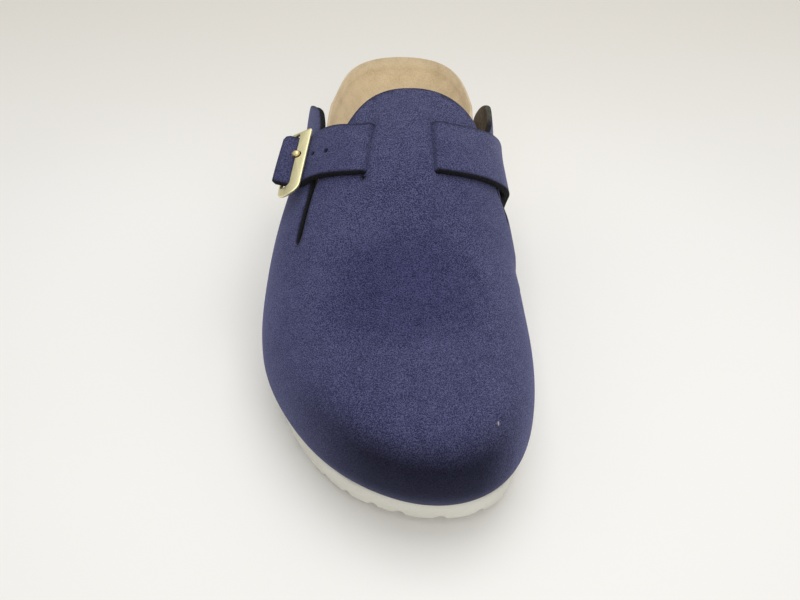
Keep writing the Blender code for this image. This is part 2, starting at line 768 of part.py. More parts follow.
def make_strap(spacing=4.0, across=6):
    rows = strap_rows(spacing)
    share = np.linspace(-0.5, 0.5, across)
    step = share[None] * (STRAP_WIDTH * rows[:, 4] / np.sqrt(1 + rows[:, 2] ** 2))[:, None]
    girth = rows[:, :1] + rows[:, 2:3] * step
    y = rows[:, 1:2] + step
    middle = skin_at(girth, y)
    normal = skin_normal(girth, y)
    top = middle + normal * (rows[:, 3] + rows[:, 5] / 2)[:, None, None]
    low = middle + normal * (rows[:, 3] - rows[:, 5] / 2)[:, None, None]
    rings = np.concatenate([top, low[:, ::-1]], 1)
    size = rings.shape[1]
    faces = [tuple(range(size))[::-1]]
    for k in range(len(rings) - 1):
        for i in range(size):
            j = (i + 1) % size
            faces.append((k * size + i, k * size + j, (k + 1) * size + j, (k + 1) * size + i))
    faces.append(tuple((len(rings) - 1) * size + i for i in range(size)))
    strap = new_object("instep_strap", rings.reshape(-1, 3), faces, (0.05, 0.055, 0.12), 0.85)
    cut_by(strap, "prong_hole", *prong_body(0.4, False))
    return strap


def buckle_axes():
    """Middle of the front bar, then the directions to the rear bar, along the bars and outwards."""
    girth, y, _ = FRONT_BAR
    front = skin_at(girth, y) + skin_normal(girth, y) * FRONT_BAR[2]
    rear = skin_at(*REAR_BAR[:2]) + skin_normal(*REAR_BAR[:2]) * REAR_BAR[2]
    step = np.array([-1.0, 1.0]) * FRAME_HALF * 0.7
    ends = skin_at(girth + BAR_LEAN * step, y + step)
    along = (ends[0] - ends[1]) / np.linalg.norm(ends[0] - ends[1])
    way = rear - front
    way -= along * (way @ along)
    reach = np.linalg.norm(way)
    way /= reach
    return front, way, along, np.cross(way, along), reach


def in_buckle(way, along, out):
    """A place by its way from the front bar over the bent frame, along the bars and outwards."""
    origin, e1, e2, e3, reach = buckle_axes()
    bend = math.radians(FRAME_BEND)
    radius = reach / (2 * math.sin(bend))
    angle = (way / reach - 0.5) * 2 * bend
    across = reach / 2 + (radius + out) * np.sin(angle)
    rise = (radius + out) * np.cos(angle) - radius * math.cos(bend)
    return origin + across[..., None] * e1 + along[..., None] * e2 + rise[..., None] * e3


def round_corners(start, end, heel, toe, radii, steps):
    """A rounded rectangle in the buckle's plane, the same number of points whatever its size."""
    corners = ((start, heel, radii[0], 180), (end, heel, radii[1], 270),
               (end, toe, radii[2], 0), (start, toe, radii[3], 90))
    points = []
    for p, w, radius, angle in corners:
        centre = (p + math.copysign(radius, (start + end) / 2 - p), w + math.copysign(radius, -w))
        for a in np.radians(np.linspace(angle, angle + 90, steps)):
            points.append((centre[0] + radius * np.cos(a), centre[1] + radius * np.sin(a)))
    return np.array(points)


def frame_loop(inner, ease, steps=7):
    """The frame's outside or its window, eased into the metal: way from the front bar, along the bars."""
    reach = buckle_axes()[4]
    if inner:
        loop = round_corners(FRONT_BAR_WIDE / 2 - ease, reach - REAR_BAR_WIDE / 2 + ease,
                             HEEL_ARM - FRAME_HALF - ease, FRAME_HALF - TOE_ARM + ease,
                             INNER_RADII + ease, steps)
    else:
        loop = round_corners(ease - FRONT_BAR_WIDE / 2, reach + REAR_BAR_WIDE / 2 - ease,
                             ease - FRAME_HALF, FRAME_HALF - ease, OUTER_RADII - ease, steps)
    drawn_in = np.where(loop[:, 1] < 0, HEEL_TAPER * np.clip(loop[:, 0] / reach, 0, 1), 0)
    loop[:, 1] *= 1 - drawn_in
    return loop


def make_frame():
    half = FRAME_THICK / 2
    levels = ((FRAME_EASE, -half), (0.0, FRAME_EASE - half), (0.0, half - FRAME_EASE), (FRAME_EASE, half))
    rings = [(frame_loop(False, ease), level) for ease, level in levels]
    rings += [(frame_loop(True, ease), level) for ease, level in levels[::-1]]
    size = len(rings[0][0])
    placed = [in_buckle(loop[:, 0], loop[:, 1], np.full(size, level)) for loop, level in rings]
    points = np.concatenate(placed)
    faces = []
    for k in range(len(rings)):
        m = (k + 1) % len(rings)
        for i in range(size):
            j = (i + 1) % size
            faces.append((k * size + i, k * size + j, m * size + j, m * size + i))
    frame = new_object("buckle_frame", points, faces, (0.80, 0.72, 0.52), 0.3, 1.0)
    cut_by(frame, "ball_notch", *notch_body())
    return frame


def notch_body(count=14):
    """An upright cylinder at the edge of the front bar, where the ball sits."""
    turn = turns(count)
    way = FRONT_BAR_WIDE / 2 - HEAD_SET + NOTCH_RADIUS * np.cos(turn)
    along = NOTCH_RADIUS * np.sin(turn) - PRONG_BACK
    points = np.concatenate([in_buckle(way, along, np.full(count, level)) for level in (-3.0, 3.0)])
    faces = [tuple(range(count))[::-1], tuple(range(count, 2 * count))]
    for i in range(count):
        j = (i + 1) % count
        faces.append((i, j, count + j, count + i))
    return points, faces


def prong_path():
    """Way, height and radius along the prong: ball head, shaft, then the loop round the rear bar."""
    reach = buckle_axes()[4]
    head = (FRONT_BAR_WIDE / 2 - HEAD_SET, 0.95)
    rows = []
    for a in np.radians((10, 40, 70, 100, 128)):
        rows.append((head[0] - BALL_RADIUS * math.cos(a), head[1], BALL_RADIUS * math.sin(a)))
    foot = (reach, -LOOP_RADIUS)
    for k in (0.16, 0.4, 0.7, 0.88):
        radius = SHAFT_RADIUS if k < 0.8 else LOOP_WIRE
        rows.append((head[0] + (foot[0] - head[0]) * k, head[1] + (foot[1] - head[1]) * k, radius))
    for a in np.radians(np.linspace(-90, 165, 12)):
        rows.append((reach + LOOP_RADIUS * math.cos(a), LOOP_RADIUS * math.sin(a), LOOP_WIRE))
    return np.array(rows)


def prong_body(more=0.0, whole=True, count=10):
    """The prong as a tube; grown, and without its head and loop, it cuts the strap's hole."""
    rows = prong_path() if whole else prong_path()[4:9]
    travel = np.gradient(rows[:, :2], axis=0)
    travel /= np.linalg.norm(travel, axis=1, keepdims=True)
    turn = turns(count)
    rings = []
    for (way, out, radius), (dw, do) in zip(rows, travel):
        radius = radius + more
        swing = radius * np.cos(turn)
        rings.append(in_buckle(way - do * swing, radius * np.sin(turn) - PRONG_BACK, out + dw * swing))
    faces = [tuple(range(count))]
    for k in range(len(rings) - 1):
        for i in range(count):
            j = (i + 1) % count
            faces.append((k * count + j, k * count + i, (k + 1) * count + i, (k + 1) * count + j))
    faces.append(tuple((len(rings) - 1) * count + i for i in range(count))[::-1])
    return np.concatenate(rings), faces


def make_prong():
    points, faces = prong_body()
    return new_object("buckle_prong", points, faces, (0.80, 0.72, 0.52), 0.3, 1.0)


def tab_places(section, step):
    """A section line of the tab, carried sideways by a step along the buckle's rear bar."""
    aside = (step + PRONG_BACK) / math.sqrt(1 + BAR_LEAN ** 2)
    girth = REAR_BAR[0] + section[:, 0] + BAR_LEAN * aside
    y = REAR_BAR[1] - section[:, 0] * TAB_LEAN + aside
    return skin_at(girth, y) + skin_normal(girth, y) * section[:, 1:]


def make_tab():
    outside = respaced(np.concatenate([TAB_OUTSIDE, TAB_OUTSIDE[:1]]), 1.6)[:-1]
    eye = respaced(np.concatenate([TAB_EYE, TAB_EYE[:1]]), 2.2)[:-1]
    section = np.concatenate([outside, eye])
    size, edge = len(section), len(outside)
    loops = [list(range(edge)), list(range(edge, size))]
    borders = [pair for loop in loops for pair in zip(loop, loop[1:] + loop[:1])]
    made = delaunay_2d_cdt([tuple(p) for p in section], borders, [], 1, 1e-4)
    source = [ids[0] for ids in made[3]]
    cap = [[source[i] for i in face] for face in made[2]]
    cap = [face for face in cap if min(face) < edge]
    steps = np.linspace(-TAB_HALF, TAB_HALF, 5)
    points = np.concatenate([tab_places(section, step) for step in steps])
    last = (len(steps) - 1) * size
    faces = [tuple(face) for face in cap] + [tuple(last + i for i in face[::-1]) for face in cap]
    for k in range(len(steps) - 1):
        for loop, turned in zip(loops, (False, True)):
            for a, b in zip(loop, loop[1:] + loop[:1]):
                quad = (k * size + b, k * size + a, (k + 1) * size + a, (k + 1) * size + b)
                faces.append(quad[::-1] if turned else quad)
    tab = new_object("buckle_tab", points, faces, (0.05, 0.055, 0.12), 0.85)
    reach = buckle_axes()[4]
    way = np.array([-6.0, 2.9] * 4) + reach
    along = np.array([-1, -1, 1, 1] * 2) * TAB_SLOT / 2 - PRONG_BACK
    out = np.array([-4.0] * 4 + [5.0] * 4)
    box = in_buckle(way, along, out)
    sides = [(0, 2, 3, 1), (4, 5, 7, 6), (0, 1, 5, 4), (1, 3, 7, 5), (3, 2, 6, 7), (2, 0, 4, 6)]
    cut_by(tab, "prong_slot", box, sides)
    return tab


def main():
    for obj in list(bpy.data.objects):
        bpy.data.objects.remove(obj, do_unlink=True)
    make_outsole()
    make_footbed()
    make_upper()
    make_strap()
    make_frame()
    make_prong()
    make_tab()


main()
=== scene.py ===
"""The looks of the clog: fine leather, suede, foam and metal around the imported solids, on a pale floor."""
import math

import bpy
import numpy as np
from mathutils import Matrix, Vector
from mathutils.geometry import delaunay_2d_cdt


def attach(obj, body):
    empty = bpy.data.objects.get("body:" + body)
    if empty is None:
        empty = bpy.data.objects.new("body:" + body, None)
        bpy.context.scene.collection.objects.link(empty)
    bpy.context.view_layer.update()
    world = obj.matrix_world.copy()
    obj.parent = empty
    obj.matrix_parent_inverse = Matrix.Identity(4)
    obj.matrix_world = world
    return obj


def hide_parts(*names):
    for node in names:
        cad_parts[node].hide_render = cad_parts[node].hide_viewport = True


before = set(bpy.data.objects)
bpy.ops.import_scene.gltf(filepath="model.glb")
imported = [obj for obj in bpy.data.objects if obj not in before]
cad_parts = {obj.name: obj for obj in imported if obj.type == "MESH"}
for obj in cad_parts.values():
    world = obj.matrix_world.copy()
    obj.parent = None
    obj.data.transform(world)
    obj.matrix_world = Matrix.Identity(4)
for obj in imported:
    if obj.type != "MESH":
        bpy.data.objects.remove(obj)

# The shoe's own sizes, in millimetres, as in its solids: toe to -Y, medial side to +X, floor at z = 0.
MM = 0.001
GAP = 0.3

LENGTH = 266.0
# The middle of the finished shoe's box in plan, moved to the origin.
MIDDLE = np.array([-1.4, 0.55, 0.0])
WALL = 2.2
HEEL_STACK = 20.0
BALL_STACK = 13.0
TOE_STACK = 9.4
TOE_SPRING = 7.4
SPRING_SHARE = 0.26
BULGE_RISE = 10.5
TUCK_TOE = 4.7
TUCK_HEEL = 2.4
SECTION_POWER = 2.5
TOE_BOX_SHARE = 0.17
TOE_BOX_POWER = 3.0
RIDGE_SHIFT = 4.0
FLARE_LATERAL = 1.7
FLARE_MEDIAL = 3.2
FLARE_SHARES = (0.54, 0.68)
FLARE_DROPS = (1.05, 0.60)
# The medial quarter turns inward towards its rear edge, most of all where it rises from the footbed.
INTURN = 5.0
INTURN_SHARES = (0.65, 0.74)
INTURN_DROPS = (0.62, 0.84, 0.90, 1.02)

# The widest line of the upper, and of the footbed behind the quarters:
# share of the length from the toe, half width, centre towards the medial side.
OUTLINE = np.array([
    (0.00, 0.0, 13.4), (0.02, 18.8, 12.2), (0.07, 32.9, 8.7), (0.15, 43.4, 4.2), (0.25, 49.2, -0.3),
    (0.35, 49.0, -2.4), (0.47, 46.2, -2.8), (0.60, 41.2, -1.3), (0.72, 39.6, -1.4), (0.84, 34.6, 0.0),
    (0.93, 28.8, 0.0), (0.98, 18.6, 0.0), (1.00, 0.0, 0.0),
])

# The top of the upper: share of the length, height.
RIDGE = np.array([
    (0.10, 51.0), (0.20, 54.5), (0.30, 60.0), (0.40, 69.0), (0.50, 81.0), (0.56, 88.5), (0.75, 95.0),
])

# The footbed: share of the length, foot surface above the sole, rim above the sole.
FOOTBED = np.array([
    (0.00, 5.0, 8.0), (0.30, 5.0, 8.0), (0.50, 8.5, 11.5), (0.60, 10.0, 15.0), (0.72, 8.5, 20.5),
    (0.84, 7.0, 25.0), (1.00, 7.0, 27.0),
])


def natural_spline(knots, values):
    """A smooth curve through the values, as a function."""
    count = len(knots)
    step = np.diff(knots)
    slope = np.diff(values) / step
    matrix = np.eye(count)
    right = np.zeros(count)
    for i in range(1, count - 1):
        matrix[i, i - 1:i + 2] = step[i - 1], 2 * (step[i - 1] + step[i]), step[i]
        right[i] = 6 * (slope[i] - slope[i - 1])
    bend = np.linalg.solve(matrix, right)

    def curve(at):
        at = np.asarray(at, float)
        i = np.clip(np.searchsorted(knots, at) - 1, 0, count - 2)
        along = at - knots[i]
        first = slope[i] - step[i] * (2 * bend[i] + bend[i + 1]) / 6
        third = (bend[i + 1] - bend[i]) / (6 * step[i])
        return values[i] + along * (first + along * (bend[i] / 2 + along * third))

    return curve


def eased(share):
    share = np.clip(share, 0, 1)
    return share ** 2 * (3 - 2 * share)


def eased_between(value, start, end):
    """A soft step from 0 at the start to 1 at the end."""
    return eased((value - start) / (end - start))


def unit(vectors):
    """The vectors along the last axis, at length 1."""
    return vectors / np.linalg.norm(vectors, axis=-1, keepdims=True)


def angle_of(share):
    return np.arccos(np.clip(1 - 2 * np.asarray(share, float), -1, 1))


half_width, centre_line = (natural_spline(angle_of(OUTLINE[:, 0]), OUTLINE[:, n]) for n in (1, 2))
ridge_line = natural_spline(RIDGE[:, 0], RIDGE[:, 1])


def share_of(turn):
    return (1 - np.cos(turn)) / 2


def station(share):
    return (share - 0.5) * LENGTH


def share_at(y):
    return y / LENGTH + 0.5


def share_within(plan):
    """Share of the length at plan points, kept within the shoe."""
    return np.clip(share_at(plan[..., 1]), 0, 1)


def floor_rise(share):
    """Height of the lugs' bottom: flat, then sprung at the toe."""
    return TOE_SPRING * np.clip(1 - share / SPRING_SHARE, 0, 1) ** 2


def feather(share):
    """Height of the sole's top, where the upper and the footbed stand."""
    stack = np.interp(share, (0.0, 0.35, 0.8, 1.0), (TOE_STACK, BALL_STACK, HEEL_STACK, HEEL_STACK))
    return floor_rise(share) + stack


def widest_height(share):
    return feather(share) + BULGE_RISE


def crown(share):
    """Height of the upper along its ridge, rounded off over the toe."""
    low = widest_height(share)
    near = np.clip(share / TOE_BOX_SHARE, 0, 1)
    return low + (ridge_line(share) - low) * (1 - (1 - near) ** TOE_BOX_POWER) ** (1 / TOE_BOX_POWER)


def ridge_place(share):
    return centre_line(angle_of(share)) + RIDGE_SHIFT * np.clip(share / 0.25, 0, 1)


def tuck(share):
    return np.interp(share, (0.0, 0.45, 0.72, 1.0), (TUCK_TOE, TUCK_TOE, TUCK_HEEL, TUCK_HEEL))


def outline(turn):
    """Plan points of the widest line: turn 0 at the toe, pi at the heel by the medial side."""
    turn = np.mod(turn, 2 * math.pi)
    medial = turn <= math.pi
    angle = np.where(medial, turn, 2 * math.pi - turn)
    x = centre_line(angle) + np.where(medial, 1, -1) * half_width(angle)
    return np.stack([x, station(share_of(angle))], -1)


def left_of(travel):
    """Unit vectors in plan, a quarter turn to the left of the travel."""
    travel = unit(travel)
    return np.stack([-travel[..., 1], travel[..., 0]], -1)


def inset_outline(turn, inset):
    inward = left_of(outline(turn + 1e-3) - outline(turn - 1e-3))
    return outline(turn) + inward * np.asarray(inset)[..., None]


FAN_PULL = 0.13
FAN_SHARE = 0.32
GIRTH_STEPS = np.concatenate([np.linspace(0, 1, 41), np.linspace(1, 2, 9)[1:]])


def spine_share(share):
    """Station of the ridge point facing an outline point: pulled back at the toe, so lines fan out."""
    return share + FAN_PULL * np.clip(1 - share / FAN_SHARE, 0, 1) ** 2


def spine_place(share):
    """Plan point of the ridge that faces an outline point."""
    ahead = spine_share(share)
    return np.stack([ridge_place(ahead), station(ahead)], -1)


def dome_height(x, share):
    middle = ridge_place(share)
    angle = angle_of(share)
    reach = np.where(x >= middle, centre_line(angle) + half_width(angle) - middle,
                     middle - centre_line(angle) + half_width(angle))
    across = np.clip(np.abs(x - middle) / np.maximum(reach, 1e-6), 0, 1)
    rise = (1 - across ** SECTION_POWER) ** (1 / SECTION_POWER)
    return widest_height(share) + (crown(share) - widest_height(share)) * rise


def skin(turn, drop):
    """The upper's outer face: drop 0 on the ridge, 1 on the widest line, 2 at the sole."""
    turn, drop = np.broadcast_arrays(np.asarray(turn, float), np.asarray(drop, float))
    share = share_of(turn)
    fall = np.clip(drop, 0, 1) * math.pi / 2
    under = np.clip(drop - 1, 0, 1)
    spine = spine_place(share)
    edge = inset_outline(turn, tuck(share) * under ** 2)
    plan = spine + (edge - spine) * (np.sin(fall) ** (2 / SECTION_POWER))[..., None]
    back = eased_between(share, *FLARE_SHARES)
    high = eased_between(drop, *FLARE_DROPS)
    inward = eased_between(share, *INTURN_SHARES)
    inward = inward * eased(np.interp(drop, INTURN_DROPS, (0.0, 1.0, 1.0, 0.0)))
    plan[..., 0] += np.where(np.sin(turn) >= 0, FLARE_MEDIAL * back * high - INTURN * inward,
                             -FLARE_LATERAL * back * high)
    on_dome = dome_height(plan[..., 0], share_at(plan[..., 1]))
    low = widest_height(share)
    below = low * (1 - under) + (feather(share_within(edge)) + GAP) * under
    # Behind the toe's fan a line runs straight across, so its height follows its own section.
    section = low + (crown(share) - low) * np.cos(fall) ** (2 / SECTION_POWER)
    height = np.where(drop > 1, below, np.where(share > FAN_SHARE, section, on_dome))
    return np.concatenate([plan, height[..., None]], -1)


def girths(turn):
    """Distance over the skin from the ridge, for each turn at each of GIRTH_STEPS."""
    points = skin(np.asarray(turn)[..., None], GIRTH_STEPS)
    legs = np.linalg.norm(np.diff(points, axis=-2), axis=-1)
    return np.concatenate([np.zeros(legs.shape[:-1] + (1,)), np.cumsum(legs, -1)], -1)


def drop_at(turn, girth):
    tables = girths(turn)
    return np.array([np.interp(g, table, GIRTH_STEPS) for g, table in zip(girth, tables)])


def by_girth(line):
    """Turn and drop of points given as signed girth from the ridge (medial +) and station."""
    turn = angle_of(share_at(line[:, 1])) * np.where(line[:, 0] < 0, -1, 1)
    return np.stack([turn, drop_at(turn, np.abs(line[:, 0]))], -1)


def skin_at(girth, y):
    """The skin by signed girth and station, behind the toe's fan."""
    girth, y = np.broadcast_arrays(np.asarray(girth, float), np.asarray(y, float))
    places = by_girth(np.stack([girth.ravel(), y.ravel()], -1))
    return skin(*places.T).reshape(girth.shape + (3,))


def skin_normal(girth, y):
    across = skin_at(girth + 0.6, y) - skin_at(girth - 0.6, y)
    along = skin_at(girth, y + 0.6) - skin_at(girth, y - 0.6)
    return unit(np.cross(across, along))


def above_skin(girth, y, rise):
    return skin_at(girth, y) + skin_normal(girth, y) * rise


def girth_at_height(side, y, z):
    """Signed girth of the skin point at station y and height z on one side."""
    share = share_at(y)
    low = widest_height(share)
    if z >= low:
        drop = math.acos(((z - low) / (crown(share) - low)) ** (SECTION_POWER / 2)) * 2 / math.pi
    else:
        drop = 1 + (low - z) / (BULGE_RISE - GAP)
    table = girths(np.array([side * angle_of(share)]))[0]
    return side * float(np.interp(drop, GIRTH_STEPS, table))


def rounded(points, rounds, closed=False):
    """The line with its corners cut, as often as asked."""
    points = np.asarray(points, float)
    for _ in range(rounds):
        after = np.roll(points, -1, 0) if closed else points[1:]
        before = points if closed else points[:-1]
        cut = np.stack([before * 0.75 + after * 0.25, before * 0.25 + after * 0.75], 1).reshape(-1, 2)
        points = cut if closed else np.concatenate([points[:1], cut, points[-1:]])
    return points


def respaced(points, spacing):
    """The line sampled again at an even spacing, both ends kept."""
    legs = np.linalg.norm(np.diff(points, axis=0), axis=1)
    run = np.concatenate([[0], np.cumsum(legs)])
    at = np.linspace(0, run[-1], max(int(round(run[-1] / spacing)), 1) + 1)
    return np.stack([np.interp(at, run, points[:, i]) for i in range(points.shape[1])], -1)


# The cut edge of the upper. Each quarter's edge from its foot to the slit: station, height.
REAR_FOOT = 66.0
LATERAL_QUARTER = np.array([
    (62.5, 30.0), (58.5, 46.0), (53.0, 57.0), (46.5, 65.6), (38.0, 69.2), (29.0, 74.2), (20.0, 75.0),
    (11.5, 74.5),
])
MEDIAL_QUARTER = np.array([
    (63.0, 30.0), (62.0, 45.0), (60.0, 53.5), (56.0, 61.0), (49.0, 65.3), (40.0, 65.3), (33.0, 65.0),
    (25.0, 66.5), (15.0, 69.5),
])
# Then round the slit and up the tongue: girth from the ridge, station.
LATERAL_SLIT = np.array([
    (-36.5, -14.0), (-39.5, -27.0), (-42.0, -39.0), (-39.7, -39.4), (-37.4, -27.0), (-34.2, -14.0),
    (-24.5, 4.5), (-18.0, 13.0), (-9.5, 17.3), (0.5, 18.6),
])
MEDIAL_SLIT = np.array([
    (43.0, 3.0), (48.0, -9.0), (50.0, -17.0), (48.6, -17.4), (46.2, -9.0), (40.5, 2.0), (32.5, 13.5),
    (22.0, 16.5), (10.5, 18.0),
])
# The two slits over the instep: girth and station of the rear end, then of the front end.
BRIDGE_SLITS = np.array([
    (-11.2, 4.8, -13.9, -19.2),
    (9.2, 5.2, 11.7, -18.8),
])
SLIT_WIDTH = 3.6
SLIT_END = 2.0
BRIDGE_LIFT = 2.6
BRIDGE_MIDDLE = -6.8
BRIDGE_FLAT = 12.0
BRIDGE_FADE = 12.0

STRAP_WIDTH = 19.8
STRAP_THICK = 2.6
# The strap is skived towards its end: share of the thickness, girth where it starts, girth it takes.
STRAP_SKIVE = (0.27, -38.0, 4.0)
# Its end's corners are rounded: share of the width, length.
STRAP_END = (0.12, 1.6)
# Height of its medial foot above the sole's top.
STRAP_FOOT = 3.0
# The strap's middle line from its medial foot to its free end:
# girth, station, lean of the cross line, height of its middle above the skin.
STRAP = np.array([
    (84.0, 31.0, -0.10, 1.80),
    (72.0, 25.5, -0.45, 1.80),
    (60.0, 18.0, -0.60, 2.00),
    (50.0, 10.5, -0.60, 2.50),
    (40.0, 3.0, -0.50, 2.80),
    (28.0, -3.0, -0.25, 1.90),
    (18.0, -6.0, -0.12, 1.80),
    (12.3, -6.5, -0.10, 1.80),
    (8.7, -6.7, -0.10, -1.70),
    (4.5, -6.8, -0.03, -1.70),
    (-6.5, -7.0, 0.08, -1.70),
    (-10.6, -7.4, 0.11, -1.70),
    (-14.4, -7.6, 0.11, 1.80),
    (-20.0, -7.0, 0.16, 1.80),
    (-28.0, -5.0, 0.22, 1.80),
    (-34.0, -3.6, 0.20, 1.80),
    (-37.0, -3.3, 0.18, 1.70),
    (-39.5, -3.5, 0.13, 1.95),
    (-41.0, -3.6, 0.11, 3.50),
    (-42.3, -3.6, 0.10, 6.20),
    (-43.2, -3.5, 0.10, 8.60),
    (-44.1, -3.4, 0.10, 9.80),
    (-45.0, -3.2, 0.10, 10.2),
])
# Share of the strap's width by the girth on the lateral side.
STRAP_SHARES = np.array([
    (0.0, 1.00), (20.0, 0.98), (30.0, 1.02), (38.0, 1.03),
])

# Sole: share of the length, inset of its top edge from the widest line, shift towards the medial side.
SOLE_EDGE = np.array([
    (0.00, 6.0, 0.6), (0.05, 4.2, 0.6), (0.12, 3.8, 0.6), (0.30, 4.4, 0.3), (0.50, 4.5, 0.0),
    (0.74, 3.2, 0.0), (0.84, -0.5, 0.0), (1.00, -0.5, 0.0),
])
# The sole's wall from its top down: share of the wall, inset from the top edge.
SOLE_WALL = np.array([
    (0.00, 0.0), (0.20, -0.4), (0.50, -0.3), (0.80, 0.4), (0.93, 1.0), (1.00, 2.0),
])
# The footbed's side: share of the length, inset of its foot from the widest line, inset of its rim.
FOOTBED_EDGE = np.array([
    (0.00, 7.4, 4.6), (0.50, 7.4, 4.6), (0.745, 6.0, 5.8), (0.825, 0.7, 2.2), (1.00, 0.6, 2.4),
])
ARCH_RISE = 5.0
ARCH_PLACE = 0.56
ARCH_SPREAD = 0.10
# The round of the footbed's rim: its height and its width.
RIM_ROUND = (1.2, 1.3)
# The footbed's side: share of the way to the rim's inset that it takes evenly, and how far it bulges.
FOOTBED_LEAN = 0.8
FOOTBED_BULGE = 1.2
# Behind this share of the length the footbed's lines fan out again, drawn forward by up to this share.
HEEL_FAN_SHARE = 0.78
HEEL_FAN_PULL = 0.14
# How late the foot's surface rises to the rim, as a power of the way out.
CUP_POWER = 5
LUG_DEPTH = 2.6
GROOVE_FOOT = 5.0
GROOVE_TOP = 1.8
GROOVE_BELOW = 1.5
GROOVE_PITCH = 14.0
GROOVE_WAVE = 2.6
GROOVE_WAVE_LENGTH = 31.0
GROOVE_REACH = 62.0
HUB_RADIUS = 14.0
# Where the grooves round the toe and the heel point: angle from straight ahead or straight back, degrees.
TOE_GROOVES = (-78.0, -58.0, -33.5, -10.5, 19.0, 45.0, 70.0)
HEEL_GROOVES = (-60.0, -36.0, -12.0, 12.0, 36.0, 60.0)
TOE_GROOVE_HUB = (6.0, -100.0)
HEEL_GROOVE_HUB = (0.0, 98.0)

# Places of the buckle's front and rear bars as girth, station and height above the skin. Its frame is bent
# to an arc between them, turned this many degrees at each bar.
FRAME_BEND = 24.0
FRONT_BAR = (-39.2, -5.5, 5.4)
REAR_BAR = (-46.2, -3.25, 6.4)
# Girth that the bars gain for each millimetre back along them.
BAR_LEAN = 0.06
FRAME_THICK = 1.4
FRAME_HALF = 15.8
FRONT_BAR_WIDE = 4.4
REAR_BAR_WIDE = 1.6
HEEL_ARM = 2.1
TOE_ARM = 4.4
# Share by which the heel arm is drawn in towards the rear bar.
HEEL_TAPER = 0.07
# Corner radii of the frame: front bar's heel end, rear bar's heel end and toe end, front bar's toe end.
OUTER_RADII = np.array([0.8, 2.4, 5.2, 5.6])
INNER_RADII = np.array([0.8, 1.0, 1.4, 1.9])
NOTCH_RADIUS = 1.75
NOTCH_REACH = 3.0
BALL_RADIUS = 1.35
HEAD_SET = 0.6
HEAD_RISE = 0.95
# The prong lies this far behind the middle of the bars.
PRONG_BACK = 3.2
SHAFT_RADIUS = 0.7
LOOP_RADIUS = 1.6
LOOP_WIRE = 0.4
# The prong's rings: degrees round its head, share of its shaft and radius there, degrees round its loop.
HEAD_ANGLES = (10, 40, 70, 100, 128)
SHAFT_STEPS = ((0.16, SHAFT_RADIUS), (0.4, SHAFT_RADIUS), (0.7, SHAFT_RADIUS), (0.88, LOOP_WIRE))
LOOP_ANGLES = np.linspace(-90, 165, 12)
# The tab in section, girth from the rear bar and height above the skin: its outside, then the bar's eye.
TAB_OUTSIDE = np.array([
    (-13.0, 0.4), (-7.0, 0.4), (-4.6, 2.6), (-1.8, 4.2), (1.2, 4.2), (2.3, 4.7), (2.8, 5.6), (2.8, 7.3),
    (2.2, 8.2), (0.8, 8.5), (-2.0, 8.5), (-4.6, 6.6), (-8.2, 2.6), (-13.0, 2.4),
])
TAB_EYE = np.array([(-1.95, 5.2), (1.9, 5.2), (1.9, 7.6), (-1.95, 7.6)])
TAB_HALF = 4.2
# Millimetres that the tab runs back for each millimetre down the side.
TAB_LEAN = 0.5
TAB_SLOT = 2.6
# The slot's reach from the rear bar, back and forth over the frame and then inwards and outwards.
TAB_SLOT_WAY = (-6.0, 2.9)
TAB_SLOT_OUT = (-4.0, 5.0)

# Fineness of the visible meshes. The upper has about TURN_GIRTH millimetres to a radian of turn.
UPPER_GRID = 1.6
TURN_GIRTH = 95.0
STRAP_GRID = 1.2
STRAP_ACROSS = 17
FOOTBED_TURNS = 300
FOOTBED_SIDE_RINGS = 9
FOOTBED_TOP_RINGS = 34
SOLE_TURNS = 360
SOLE_VOXEL = 0.8
FRAME_STEPS = 14
PRONG_COUNT = 24
NOTCH_COUNT = 32
# The frame's eased edge, and the angle in degrees from which an edge of metal or tab stays crisp.
FRAME_ROUND = 0.5
SMOOTH_ANGLE = 40.0
# Pin holes in the strap: girth, station, height of the strap above the skin.
HOLE_RADIUS = 1.05
HOLE_REACH = 3.0
STRAP_HOLES = ((-29.5, -5.0, 1.8), (-35.6, -3.0, 1.8))
# How dark the rims at the bridge's slits are, against 1 at the other cut edges, and how dark and how wide
# the painted shade on the strap is beside the slits.
SLIT_SHADE = 0.55
SLIT_SHADE_WIDE = 1.2
# Soft creases and swellings of the hide: start and end in plan, width, height.
CREASES = np.array([
    (30.0, -52.0, 44.0, -44.0, 7.0, 0.5),
    (42.0, -13.0, 46.0, -26.0, 6.0, 1.5),
])
# Below this height a crease is only this share of its own height.
CREASE_LOW = 40.0
CREASE_LOW_SHARE = 0.4

# Colours, as linear light.
NAVY_DARK = (0.018, 0.019, 0.056)
NAVY = (0.046, 0.048, 0.116)
NAVY_LIGHT = (0.098, 0.101, 0.202)
RIM_TONE = (0.12, 0.12, 0.14)
# Where the hide's tone changes: soft steps as axis, place of 0 and place of 1, then the tone's factor.
# In turn: the toe's front in painted shade, the tongue, the medial side in painted light, the strap's outer
# half.
HIDE_TONES_AND_PAINTED_LIGHT = (
    # Painted shade on the toe's front.
    ((("Y", -84.0, -106.0), ("Z", 47.0, 36.0), ("X", -44.0, -4.0), ("X", 48.0, 27.0)), (0.14, 0.14, 0.16)),
    ((("Y", -30.0, 16.0),), (1.22, 1.21, 1.10)),
    # Painted light on the medial side.
    ((("X", 20.0, 44.0),), (1.28, 1.28, 1.18)),
    ((("X", -12.0, -24.0), ("Y", -26.0, -14.0)), (0.86, 0.86, 0.90)),
)
